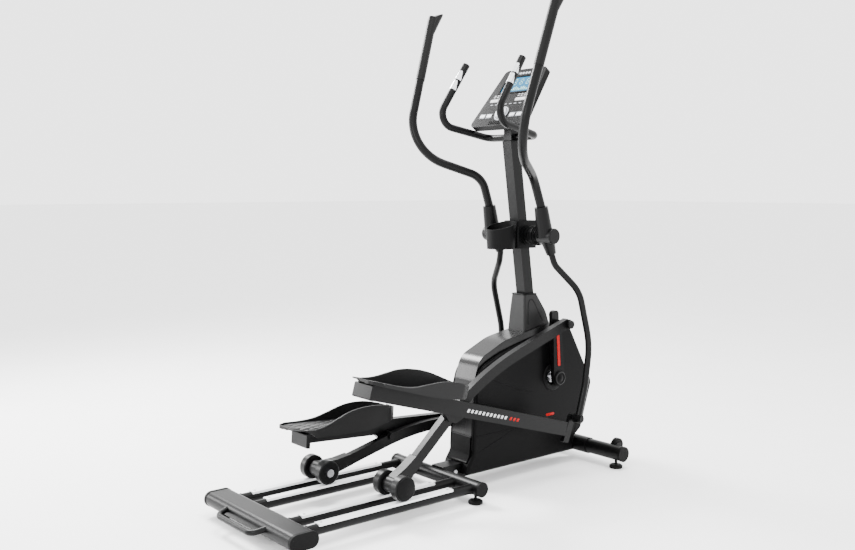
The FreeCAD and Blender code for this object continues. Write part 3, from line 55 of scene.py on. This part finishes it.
def finish(name, color, rough, metal=0.0, vary=0.25, grain=220.0, bump=0.05, spread=0.08,
           stretch=(1, 1, 1), bands=0.0, glow=0.0, specular=0.5):
    """A procedural finish: mottled colour, uneven gloss and a fine bump, in object coordinates.

    vary is the share by which the colour changes, grain the fine noise's scale, spread the change in
    roughness, stretch the noise's scale along each axis, and bands the scale of ribs across Z.
    """
    material = bpy.data.materials.new(name)
    material.use_nodes = True
    nodes, links = material.node_tree.nodes, material.node_tree.links
    shader = nodes["Principled BSDF"]
    place = nodes.new("ShaderNodeTexCoord")
    scale = nodes.new("ShaderNodeMapping")
    scale.inputs["Scale"].default_value = stretch
    links.new(place.outputs["Object"], scale.inputs["Vector"])
    broad = nodes.new("ShaderNodeTexNoise")
    broad.inputs["Scale"].default_value = 9.0
    broad.inputs["Detail"].default_value = 5.0
    fine = nodes.new("ShaderNodeTexNoise")
    fine.inputs["Scale"].default_value = grain
    fine.inputs["Detail"].default_value = 3.0
    links.new(scale.outputs["Vector"], broad.inputs["Vector"])
    links.new(scale.outputs["Vector"], fine.inputs["Vector"])
    ramp = nodes.new("ShaderNodeValToRGB")
    ramp.color_ramp.elements[0].position = 0.3
    ramp.color_ramp.elements[1].position = 0.7
    ramp.color_ramp.elements[0].color = [c * (1 - vary) for c in color] + [1]
    ramp.color_ramp.elements[1].color = [min(1, c * (1 + vary)) for c in color] + [1]
    links.new(fine.outputs["Fac"], ramp.inputs["Fac"])
    links.new(ramp.outputs["Color"], shader.inputs["Base Color"])
    gloss = nodes.new("ShaderNodeMapRange")
    gloss.inputs["To Min"].default_value = max(0.02, rough - spread)
    gloss.inputs["To Max"].default_value = min(1, rough + spread)
    links.new(broad.outputs["Fac"], gloss.inputs["Value"])
    links.new(gloss.outputs["Result"], shader.inputs["Roughness"])
    relief = nodes.new("ShaderNodeBump")
    relief.inputs["Strength"].default_value = bump
    relief.inputs["Distance"].default_value = 0.001
    height = fine.outputs["Fac"]
    if bands:
        wave = nodes.new("ShaderNodeTexWave")
        wave.bands_direction = "Z"
        wave.inputs["Scale"].default_value = bands
        links.new(place.outputs["Object"], wave.inputs["Vector"])
        height = wave.outputs["Fac"]
    links.new(height, relief.inputs["Height"])
    links.new(relief.outputs["Normal"], shader.inputs["Normal"])
    shader.inputs["Metallic"].default_value = metal
    shader.inputs["Specular IOR Level"].default_value = specular
    if glow:
        links.new(ramp.outputs["Color"], shader.inputs["Emission Color"])
        shader.inputs["Emission Strength"].default_value = glow
    return material


FINISHES = {
    "black_steel": finish("satin_powder_coat", (0.0015, 0.0015, 0.0016), 0.34, grain=900, bump=0.12,
                          specular=0.12),
    "black_plastic": finish("textured_plastic", (0.0015, 0.0015, 0.0016), 0.5, grain=1400, bump=0.25,
                            specular=0.07),
    "gloss_plastic": finish("moulded_plastic", (0.001, 0.001, 0.0011), 0.36, grain=1100, bump=0.04,
                            specular=0.05),
    "rubber": finish("black_rubber", (0.002, 0.002, 0.002), 0.68, grain=700, bump=0.3, specular=0.1),
    "roller": finish("roller_urethane", (0.0025, 0.0025, 0.0027), 0.36, grain=500, bump=0.1, specular=0.15),
    "aluminium": finish("brushed_aluminium", (0.84, 0.85, 0.87), 0.3, 1.0, 0.08, 260, 0.05,
                        stretch=(0.06, 1, 1)),
    "bare_steel": finish("machined_steel", (0.55, 0.55, 0.57), 0.3, 1.0, 0.12, 600, 0.06),
    "chrome": finish("polished_chrome", (0.82, 0.83, 0.85), 0.12, 1.0, 0.04, 60, 0.01, 0.03),
    "cast": finish("painted_casting", (0.16, 0.16, 0.17), 0.5, 0.6, 0.3, 400, 0.3),
    "lcd": finish("blue_display", (0.004, 0.08, 0.16), 0.16, vary=0.06, grain=1500, bump=0.0, glow=0.4,
                  specular=0.2),
    "grey_plastic": finish("grey_plastic", (0.30, 0.31, 0.33), 0.42, vary=0.12, grain=1300, bump=0.12),
    "magnet": finish("plated_magnet", (0.3, 0.3, 0.32), 0.35, 0.9, 0.2, 300, 0.08),
}
RED = finish("red_trim", (0.30, 0.0001, 0.0003), 0.4, vary=0.1, grain=900, bump=0.04, specular=0.1)
WHITE = finish("white_print", (0.5, 0.5, 0.51), 0.45, vary=0.05, grain=900, bump=0.03)
SEGMENT = finish("pale_segments", (0.16, 0.34, 0.33), 0.3, vary=0.04, grain=900, bump=0.0, glow=0.5)
GRIP = finish("grip_rubber", (0.0015, 0.0015, 0.0015), 0.42, bump=0.12, bands=70.0, specular=0.14)
TREAD = finish("tread_rubber", (0.002, 0.002, 0.0021), 0.44, grain=1100, bump=0.25, specular=0.16)
# A lighter copy of the tread rubber for the raised ovals and the rims: its lighter colour is a painted highlight,
# its higher gloss is real.
TREAD_PAINTED_HIGHLIGHT = finish("tread_ovals_painted_highlight", (0.006, 0.006, 0.0063), 0.32, grain=1100, bump=0.15, specular=0.45)
SPINE = finish("spine_plastic", (0.0015, 0.0015, 0.0016), 0.27, grain=420, bump=0.05, specular=0.24,
               stretch=(0.1, 1, 0.1))
BOOT = finish("boot_plastic", (0.003, 0.003, 0.0031), 0.45, grain=1400, bump=0.2, specular=0.2)
STRIP = finish("satin_aluminium", (0.85, 0.86, 0.87), 0.35, 0.3, 0.05, 260, 0.05, stretch=(0.06, 1, 1))
KEYS = finish("white_keys", (0.62, 0.63, 0.65), 0.4, vary=0.06, grain=1000, bump=0.08)


def paint(node, material):
    """Give one CAD node a finish."""
    data = frame["nodes"][node].data
    data.materials.clear()
    data.materials.append(material)
    for polygon in data.polygons:
        polygon.material_index = 0


def paint_nodes():
    """Paint every CAD node by its record slot, and then the ones with a finish of their own."""
    for row in frame["record"]["subparts"]:
        paint(row["node"], FINISHES[row["material_slot"]])
    for label in SIDES:
        paint(f"{label}_grip", GRIP)
        paint(f"{label}_pedal", TREAD)
    paint("spine_cover", SPINE)
    paint("mast_boot", BOOT)
    paint("track_strips", STRIP)
    for node in frame["nodes"]:
        if node.startswith("key_") or node == "console_dial":
            paint(node, KEYS)


# ---------------------------------------------------------------- mesh helpers


def own(piece, body, material):
    """Dress a finished piece and let it ride on its body."""
    piece.data.materials.append(material)
    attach(piece, body)
    return piece


def from_bmesh(name, mesh, matrix=None):
    """Turn a bmesh into a smooth-shaded object."""
    if matrix is not None:
        mesh.transform(matrix)
    bmesh.ops.recalc_face_normals(mesh, faces=mesh.faces)
    data = bpy.data.meshes.new(name)
    mesh.to_mesh(data)
    mesh.free()
    data.shade_smooth()
    piece = bpy.data.objects.new(name, data)
    bpy.context.scene.collection.objects.link(piece)
    return piece


def soften(piece, width, segments=3):
    """Round a piece's sharp edges."""
    bevel = piece.modifiers.new("round", "BEVEL")
    bevel.width = width
    bevel.segments = segments
    bevel.limit_method = "ANGLE"
    bevel.harden_normals = True
    return piece


def rounded(points, radius, steps=5):
    """Round every corner of a 2-D outline by the same radius."""
    outline = []
    count = len(points)
    for i, point in enumerate(points):
        here = Vector(point)
        before = (Vector(points[i - 1]) - here).normalized()
        after = (Vector(points[(i + 1) % count]) - here).normalized()
        half = before.angle(after) / 2
        centre = here + (before + after).normalized() * (radius / math.sin(half))
        start = here + before * (radius / math.tan(half)) - centre
        end = here + after * (radius / math.tan(half)) - centre
        turn = start.angle_signed(end)
        for k in range(steps + 1):
            arc = Matrix.Rotation(-turn * k / steps, 2)
            outline.append(centre + arc @ start)
    return outline


def rectangle(left, low, right, high, radius):
    """A rounded rectangle outline."""
    return rounded([(left, low), (right, low), (right, high), (left, high)], radius)


def prism(mesh, outline, low, high, matrix=Matrix()):
    """Add a prism on a 2-D outline in mm, between two heights in mm, to a bmesh in metres."""
    rings = []
    for z in (low, high):
        rings.append([mesh.verts.new(matrix @ (Vector((p[0], p[1], z)) * MM)) for p in outline])
    count = len(outline)
    mesh.faces.new(rings[0][::-1])
    mesh.faces.new(rings[1])
    for i in range(count):
        j = (i + 1) % count
        mesh.faces.new((rings[0][i], rings[0][j], rings[1][j], rings[1][i]))


def lathe(mesh, profile, matrix, steps=40):
    """Add a closed (r, z) profile in mm turned about a matrix's own Z to a bmesh in metres."""
    rings = []
    for k in range(steps):
        angle = 2 * math.pi * k / steps
        ring = []
        for r, z in profile:
            local = Vector((r * math.cos(angle), r * math.sin(angle), z)) * MM
            ring.append(mesh.verts.new(matrix @ local))
        rings.append(ring)
    for k in range(steps):
        a, b = rings[k], rings[(k + 1) % steps]
        for i in range(len(profile)):
            j = (i + 1) % len(profile)
            mesh.faces.new((a[i], b[i], b[j], a[j]))
    bmesh.ops.remove_doubles(mesh, verts=mesh.verts, dist=1e-6)


def bead(name, points, radius, body, material, closed=False):
    """A raised bead that follows points in metres on one smooth curve."""
    data = bpy.data.curves.new(name, "CURVE")
    data.dimensions = "3D"
    data.bevel_depth = radius * MM
    data.bevel_resolution = 3
    data.use_fill_caps = not closed
    spline = data.splines.new("NURBS")
    spline.points.add(len(points) - 1)
    for target, point in zip(spline.points, points):
        target.co = (*point, 1)
    spline.order_u = 3
    spline.use_endpoint_u = not closed
    spline.use_cyclic_u = closed
    spline.resolution_u = 10
    piece = bpy.data.objects.new(name, data)
    bpy.context.scene.collection.objects.link(piece)
    own(piece, body, material)


def side_point(x, z, y):
    """A point in metres from its place in millimetres, the side view's two numbers first."""
    return Vector((x, y, z)) * MM


def reach(node):
    """How far a CAD node reaches from the middle plane, in mm to the nearest tenth."""
    return round(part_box(node)[1].y / MM, 1)


def along_y(point, side):
    """A matrix at a point whose Z runs outwards along Y on a side."""
    return Matrix.Translation(Vector(point)) @ Matrix.Rotation(-side * math.pi / 2, 4, "X")


def axes(origin, x_axis, y_axis):
    """A matrix from an origin and two perpendicular directions."""
    z_axis = x_axis.cross(y_axis)
    turn = Matrix((x_axis, y_axis, z_axis)).transposed().to_4x4()
    return Matrix.Translation(origin) @ turn


# ---------------------------------------------------------------- pedals and pedal bars

# Degrees by which each pedal bar slopes down towards the console at rest.
BAR_TILT = {"right": 16.2, "left": 3.5}
BAR_FACE = 194  # from the middle plane to the pedal bars' outer faces

# The foot plate, in mm in its bar's own frame: its walls' outer sides from the middle plane, the ends of
# its flat part, and the mat's two faces.
PLATE_INNER, PLATE_OUTER = 95, 245
TREAD_BACK, TREAD_FRONT = -400, -106
MAT_LOW, MAT_TOP = 56.8, 58.4
WALL = 5

# The rows of ovals on the mat.
OVAL_ROWS, OVAL_FIRST = 9, -360
OVAL_STEP_X, OVAL_STEP_Y = 28, 25
OVAL_RADIUS, OVAL_SQUASH = 10, 0.62
OVAL_OFFSET = -6  # sets the staggered rows about the middle
OVAL_LIMIT = 56  # from the middle to the last oval's centre at most

# The tops of the foot plate's two long walls, from back to front.
RIMS = {"inner": ((-340, 62), (-306, 66), (-225, 103), (-150, 121), (-82, 123), (-36, 112)),
        "outer": ((-364, 61), (-320, 61), (-250, 66), (-195, 84), (-126, 105), (-60, 110), (-36, 106))}


def bar_matrix(label):
    """The pedal bar's own frame: X forwards along the bar, Z up, at its pivot on the roller arm."""
    pivot = Vector(joints[f"{label}_pedal_bar_tilt"]["pos_m"])
    pivot.y = 0
    return Matrix.Translation(pivot) @ Matrix.Rotation(math.radians(BAR_TILT[label]), 4, "Y")


def tread_outline(side, inset):
    """The flat part of the foot plate's plan in mm, moved inwards from its rim."""
    low, high = PLATE_INNER + inset, PLATE_OUTER - inset
    back = TREAD_BACK + inset
    plan = [(back, low + 22), (back + 60, low), (TREAD_FRONT, low), (TREAD_FRONT, high),
            (back + 36, high), (back, high - 20)]
    return rounded([(x, side * y) for x, y in plan], 12)


def tread(label, side):
    """Rubber mat in the foot plate with rows of raised ovals, the ovals lightened as a painted highlight."""
    matrix = bar_matrix(label)
    mesh = bmesh.new()
    prism(mesh, tread_outline(side, 8), MAT_LOW, MAT_TOP, matrix)
    own(from_bmesh(f"{label}_tread", mesh), f"{label}_bar", TREAD)
    mesh = bmesh.new()
    middle = side * (PLATE_INNER + PLATE_OUTER) / 2
    dome = [(0, 0), (OVAL_RADIUS, 0), (9.2, 1.1), (6.5, 1.7), (0, 1.9)]
    squash = Matrix.Diagonal((1, OVAL_SQUASH, 1, 1))
    for row in range(OVAL_ROWS):
        x = OVAL_FIRST + row * OVAL_STEP_X
        shift = OVAL_STEP_Y / 2 if row % 2 else 0
        for column in range(-2, 3):
            y = middle + column * OVAL_STEP_Y + shift + OVAL_OFFSET
            if abs(y - middle) > OVAL_LIMIT:
                continue
            oval = Matrix.Translation(Vector((x, y, MAT_TOP)) * MM)
            lathe(mesh, dome, matrix @ oval @ squash, 18)
    # The ovals get the lighter tread rubber, a painted highlight.
    own(from_bmesh(f"{label}_tread_ovals_painted_highlight", mesh), f"{label}_bar", TREAD_PAINTED_HIGHLIGHT)


def pedal_rims(label, side):
    """Rounded rims along the two long walls of the foot plate, in the lighter tread rubber as a painted highlight.
    """
    matrix = bar_matrix(label)
    walls = {"inner": PLATE_INNER + WALL / 2, "outer": PLATE_OUTER - WALL / 2}
    for edge, wall in walls.items():
        line = [matrix @ (Vector((x, side * wall, z - 1)) * MM) for x, z in RIMS[edge]]
        # The rims get the lighter tread rubber, a painted highlight.
        bead(f"{label}_{edge}_rim", line, WALL / 2, f"{label}_bar", TREAD_PAINTED_HIGHLIGHT)


def bar_marks(label, side):
    """A row of slanted dashes, pale and then red, on the pedal bar's outer face."""
    matrix = bar_matrix(label)
    face = Vector((0, side * BAR_FACE, 0)) * MM
    place = matrix @ axes(face, Vector((1, 0, 0)), Vector((0, 0, 1)))
    low, high, step = 22, 33, 17.5
    for name, start, count, material in (("pale", 36, 11, WHITE), ("red", 236, 3, RED)):
        mesh = bmesh.new()
        for k in range(count):
            x = start + k * step
            dash = [(x, low), (x + 9.5, low), (x + 13.5, high), (x + 4, high)]
            prism(mesh, dash, -0.5, 0.5, place)
        own(from_bmesh(f"{label}_bar_dashes_{name}", mesh), f"{label}_bar", material)


# ---------------------------------------------------------------- crank trim


CRANK_TURN = -3.9  # degrees from upright to the right crank at rest; the left one is opposite


def crank_trim(label, side):
    """Red strip, hub cap and hub ring on a crank's cover."""
    centre = Vector(joints["crank_spin"]["pos_m"])
    turn = CRANK_TURN if side < 0 else CRANK_TURN + 180
    upright = Matrix.Translation(centre) @ Matrix.Rotation(math.radians(turn), 4, "Y")
    face = Vector((0, side * reach("crank_covers"), 0)) * MM
    out = upright @ axes(face, Vector((-side, 0, 0)), Vector((0, 0, 1)))
    mesh = bmesh.new()
    prism(mesh, rectangle(-6.5, 46, 6.5, 162, 3), -0.4, 1.4, out)
    soften(own(from_bmesh(f"{label}_crank_strip", mesh), "crank", RED), 0.0005, 2)
    mesh = bmesh.new()
    dome = [(0, 0), (27, 0), (27, 3), (25, 5.5), (21, 6.5), (20, 5), (16, 5), (10, 8), (0, 9.5)]
    lathe(mesh, dome, out)
    own(from_bmesh(f"{label}_hub_cap", mesh), "crank", FINISHES["gloss_plastic"])
    mesh = bmesh.new()
    lathe(mesh, [(20.5, 5.6), (24.5, 5.2), (24.0, 6.6), (21, 7.2)], out)
    own(from_bmesh(f"{label}_hub_ring", mesh), "crank", FINISHES["roller"])


# ---------------------------------------------------------------- housing


# Lines on a shell in the side view, as (x, z) in mm: the lip along its rounded edge, and the creases.
LIP_OUT = 56.5  # from the middle plane to the lip
LIP = [(139, 130), (146, 250), (151, 350), (168, 405), (210, 432), (282, 460), (400, 489), (500, 508),
       (590, 528)]
CREASES = {"low": [(168, 121), (250, 148), (338, 176)], "ledge": [(150, 178), (300, 178), (470, 180)],
           "upper": [(190, 390), (300, 330), (420, 300)], "front": [(640, 60), (660, 150), (720, 280)]}
RED_MARK = (520, 203)


def housing_trim(label, side):
    """Lip bead, crease lines, crank ring and a plain red mark on one side of the housing."""
    gloss = FINISHES["gloss_plastic"]
    face = side * reach("left_housing_shell")
    lip = [side_point(x, z, side * LIP_OUT) for x, z in LIP]
    bead(f"{label}_shell_lip", lip, 2.6, "root", gloss)
    for name, points in CREASES.items():
        crease = [side_point(x, z, face) for x, z in points]
        bead(f"{label}_crease_{name}", crease, 1.1, "root", gloss)
    mesh = bmesh.new()
    ring = [(31, -1), (52, -1), (52, 1.2), (49, 3), (35, 3), (31, 1.2)]
    centre = Vector(joints["crank_spin"]["pos_m"])
    centre.y = face * MM
    lathe(mesh, ring, along_y(centre, side), 56)
    own(from_bmesh(f"{label}_crank_ring", mesh), "root", FINISHES["black_plastic"])
    mesh = bmesh.new()
    out = axes(side_point(*RED_MARK, face), Vector((-side, 0, 0)), Vector((0, 0, 1)))
    prism(mesh, rectangle(-22, -5, 22, 5, 4.9), -0.5, 0.6, out)
    own(from_bmesh(f"{label}_red_mark", mesh), "root", RED)


# The mast boot, in mm: its foot and its top with their half widths, the top's two ends, and the arched
# outline on its sides.
BOOT_FOOT, BOOT_FOOT_HALF = 516, 45
BOOT_TOP, BOOT_TOP_HALF = 654, 34
BOOT_BACK, BOOT_FRONT = 413, 477
BOOT_ARCH = [(424, 545), (426, 590), (432, 628), (446, 637), (459, 628), (478, 590), (500, 552)]


def boot_trim():
    """Top rim of the mast boot and the arched outline on its sides."""
    gloss = FINISHES["gloss_plastic"]
    corners = rectangle(BOOT_BACK, -BOOT_TOP_HALF, BOOT_FRONT, BOOT_TOP_HALF, 7)
    rim = [side_point(p[0], BOOT_TOP - 1, p[1]) for p in corners]
    bead("boot_rim", rim, 2.2, "root", gloss, True)
    slope = (BOOT_FOOT_HALF - BOOT_TOP_HALF) / (BOOT_TOP - BOOT_FOOT)
    for label, side in SIDES.items():
        line = [side_point(x, z, side * (BOOT_FOOT_HALF - (z - BOOT_FOOT) * slope)) for x, z in BOOT_ARCH]
        bead(f"{label}_boot_arch", line, 1.3, "root", gloss)


# ---------------------------------------------------------------- console


# Heights up the console's face from its lower edge, in mm, and the display's left, low, right and high.
BUTTON_ROW = 48
DIAL_ROW = 56
LEGEND_ROW = 98
PRINT_ROW = 112
LIGHT_ROW = 237
SCREEN = (-70, 156, 70, 224)
KEY_COLUMNS = (-92, -58, 58, 92)


def console_matrix():
    """The console's frame: X to the user's right, Y up the face, Z out of it, at its lower edge."""
    dial = joints["dial_turn"]
    out = Vector(dial["axis"]).normalized()
    right = Vector((0, -1, 0))
    up = out.cross(right)
    return axes(Vector(dial["pos_m"]) - up * DIAL_ROW * MM, right, up)


def console_group(name, outlines, low, high, material):
    """Several flat prisms on the console's face, as one piece."""
    mesh = bmesh.new()
    for outline in outlines:
        prism(mesh, outline, low, high)
    return own(from_bmesh(name, mesh, console_matrix()), "root", material)


def digit_bars(x, y, size):
    """The seven bars of one display digit, all lit."""
    thick = size * 0.2
    bars = []
    for row in range(3):
        level = y + row * size * 0.9
        bars.append(rectangle(x, level - thick / 2, x + size, level + thick / 2, thick * 0.3))
    for row in range(2):
        for column in range(2):
            left = x + column * size - thick / 2
            low = y + row * size * 0.9 + thick * 0.8
            bars.append(rectangle(left, low, left + thick, low + size * 0.9 - thick * 1.6, thick * 0.3))
    return bars


def console_trim():
    """Bezel, display segments, printed bars, lights, key borders and vents on the console."""
    gloss, grey = FINISHES["gloss_plastic"], FINISHES["grey_plastic"]
    left, low, right, high = SCREEN
    bezel = [rectangle(left - 9, low - 7, right + 9, low - 1, 2.5),
             rectangle(left - 9, high + 1, right + 9, high + 7, 2.5),
             rectangle(left - 9, low - 4, left - 1, high + 4, 2.5),
             rectangle(right + 1, low - 4, right + 9, high + 4, 2.5)]
    soften(console_group("console_bezel", bezel, -0.5, 2.4, gloss), 0.0008)
    digits = []
    for k in range(4):
        digits += digit_bars(left + 14 + k * 31, low + 34, 13)
    for k in range(13):
        height = 6 + 12 * abs(math.sin(k * 0.8))
        digits.append(rectangle(left + 10 + k * 9.4, low + 6, left + 16 + k * 9.4, low + 6 + height, 0.8))
    console_group("console_segments", digits, -0.9, -0.2, SEGMENT)
    prints = []
    for hand in (-1, 1):
        edges = sorted((hand * 30, hand * 96))
        prints.append(rectangle(edges[0], PRINT_ROW, edges[1], PRINT_ROW + 14, 4))
        for k in range(4):
            middle = hand * (38 + k * 15)
            prints.append(rectangle(middle - 5, PRINT_ROW + 21, middle + 5, PRINT_ROW + 24, 1.2))
            prints.append(rectangle(middle - 5, PRINT_ROW + 29, middle + 5, PRINT_ROW + 31.5, 1.1))
    console_group("console_prints", prints, -0.3, 0.5, WHITE)
    legends = [rectangle(x, LEGEND_ROW, x + 12, LEGEND_ROW + 3, 1.2) for x in range(-84, 85, 24)]
    console_group("console_legends", legends, -0.3, 0.5, grey)
    lights = [rectangle(x, LIGHT_ROW, x + 10, LIGHT_ROW + 10, 2.6) for x in range(-34, 23, 14)]
    console_group("console_top_lights", lights, -0.5, 0.8, grey)
    vents = [rectangle(-40 + k * 9, 8, -36 + k * 9, 24, 1.9) for k in range(10)]
    console_group("console_vents", vents, -0.5, 1.0, FINISHES["black_plastic"])
    borders = []
    for x in KEY_COLUMNS:
        for y in (BUTTON_ROW - 9.2, BUTTON_ROW + 7.4):
            borders.append(rectangle(x - 15, y, x + 15, y + 1.8, 0.8))
    console_group("console_key_borders", borders, -0.3, 0.9, grey)
    dial_trim()


def dial_trim():
    """Ring round the console's dial, and the pointer on it."""
    mesh = bmesh.new()
    ring = [(24.5, -0.5), (31, -0.5), (31, 1.2), (28, 2.4), (24.5, 1.4)]
    dial_place = console_matrix() @ Matrix.Translation(Vector((0, DIAL_ROW, 0)) * MM)
    lathe(mesh, ring, dial_place, 48)
    own(from_bmesh("dial_surround", mesh), "root", FINISHES["grey_plastic"])
    mesh = bmesh.new()
    prism(mesh, rectangle(-0.9, 7, 0.9, 18, 0.8), 10.5, 11.4, dial_place)
    own(from_bmesh("dial_pointer", mesh), "dial", FINISHES["black_plastic"])


# ---------------------------------------------------------------- frame details


def ring_set(name, centres, radius, thick, axis_matrix, body, material):
    """Rounded rings about one direction at several centres, as one piece."""
    mesh = bmesh.new()
    steps = 10
    profile = []
    for k in range(steps):
        angle = 2 * math.pi * k / steps
        profile.append((radius + thick * math.cos(angle), thick * math.sin(angle)))
    for centre in centres:
        lathe(mesh, profile, Matrix.Translation(Vector(centre)) @ axis_matrix, 44)
    own(from_bmesh(name, mesh), body, material)


RAIL_ROWS = (-193, -102, 102, 193)  # the rail tubes' middles across the machine
RAIL_WELD = 16.6  # a weld bead's radius round a rail tube
ROLLER_WIDTH = 30
BUSH_RIB_STEP = 8


def rail_welds():
    """Weld beads where the rail tubes meet the cross tubes."""
    along_x = Matrix.Rotation(math.pi / 2, 4, "Y")
    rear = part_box("rear_stabilizer")[1].x
    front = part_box("middle_crossbar")[0].x
    low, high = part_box("rail_tubes")
    middle = (low.z + high.z) / 2
    centres = []
    for y in RAIL_ROWS:
        centres.append((rear + 0.8 * MM, y * MM, middle))
        centres.append((front + 2 * MM, y * MM, middle))
    ring_set("rail_welds", centres, RAIL_WELD, 2.0, along_x, "root", FINISHES["black_steel"])


def roller_caps(label, side):
    """A dark cap on the outer roller's outer face, and a dark ring on both faces of the inner roller."""
    spin = Vector(joints[f"{label}_roller_spin"]["pos_m"])
    mesh = bmesh.new()
    cap = [(0, 5.2), (0, 6.6), (30, 6.6), (35.5, 3), (36, 0), (10, 0), (10, 5.2)]
    outer, inner = reach("left_rollers"), round(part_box("left_rollers")[0].y / MM, 1)
    lathe(mesh, cap, along_y(Vector((spin.x, side * outer * MM, spin.z)), side), 56)
    ring = [(13.8, 0), (35, 0), (35, 1.5), (32, 2.4), (15.5, 2.4), (13.8, 1.5)]
    for y, way in ((inner, -side), (inner + ROLLER_WIDTH, side)):
        lathe(mesh, ring, along_y(Vector((spin.x, side * y * MM, spin.z)), way), 56)
    own(from_bmesh(f"{label}_roller_caps", mesh), f"{label}_wheels", FINISHES["black_plastic"])


def bush_ribs():
    """Ribs round the hub bushes between the cup holder and the swing arms."""
    along = Matrix.Rotation(math.pi / 2, 4, "X")
    low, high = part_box("hub_bushes")
    middle = (low + high) / 2
    radius = (high.z - low.z) / 2 / MM
    for label, side in SIDES.items():
        centres = []
        for k in range(4):
            inwards = (6 + k * BUSH_RIB_STEP) * MM
            centres.append((middle.x, side * (high.y - inwards), middle.z))
        ring_set(f"{label}_bush_ribs", centres, radius, 1.6, along, "root", FINISHES["black_plastic"])


# ---------------------------------------------------------------- stage


LENS, SENSOR = 40.786, 36
CAMERA_PLACE = (-2.07827, -2.50466, 1.03918)
CAMERA_TURN = (84.858, 0, -39.484)  # degrees about X, Y and Z


def area_light(name, place, target, size, power):
    """A soft square light aimed at a point."""
    data = bpy.data.lights.new(name, "AREA")
    data.size = size
    data.energy = power
    lamp = bpy.data.objects.new(name, data)
    lamp.location = place
    lamp.rotation_euler = (Vector(target) - Vector(place)).to_track_quat("-Z", "Y").to_euler()
    bpy.context.scene.collection.objects.link(lamp)


def floor():
    """A wide pale floor."""
    mesh = bmesh.new()
    bmesh.ops.create_grid(mesh, x_segments=2, y_segments=2, size=60)
    piece = from_bmesh("studio_floor", mesh)
    piece.data.materials.append(finish("pale_floor", (0.86, 0.86, 0.86), 0.8, vary=0.01, grain=3, bump=0.0))


def studio():
    """Floor, soft lights and the camera."""
    floor()
    world = bpy.data.worlds.new("studio")
    bpy.context.scene.world = world
    world.use_nodes = True
    world.node_tree.nodes["Background"].inputs["Color"].default_value = (1, 1, 1, 1)
    world.node_tree.nodes["Background"].inputs["Strength"].default_value = 3.2
    area_light("key", (-0.4, 2.4, 2.7), (0.2, 0, 0.5), 1.0, 260)
    area_light("rear", (-1.9, 2.6, 1.1), (0.3, 0, 0.7), 0.9, 60)
    area_light("top", (0.2, -0.6, 4.2), (0.1, 0, 0.4), 1.6, 170)
    area_light("side", (-3.4, -1.2, 1.9), (0.0, 0, 0.6), 0.8, 70)
    data = bpy.data.cameras.new("camera")
    data.lens = LENS
    data.sensor_width = SENSOR
    camera = bpy.data.objects.new("camera", data)
    camera.location = CAMERA_PLACE
    camera.rotation_euler = [math.radians(angle) for angle in CAMERA_TURN]
    bpy.context.scene.collection.objects.link(camera)
    bpy.context.scene.camera = camera


# ---------------------------------------------------------------- everything

paint_nodes()
for label, side in SIDES.items():
    tread(label, side)
    pedal_rims(label, side)
    bar_marks(label, side)
    crank_trim(label, side)
    housing_trim(label, side)
    roller_caps(label, side)
boot_trim()
console_trim()
rail_welds()
bush_ribs()
studio()
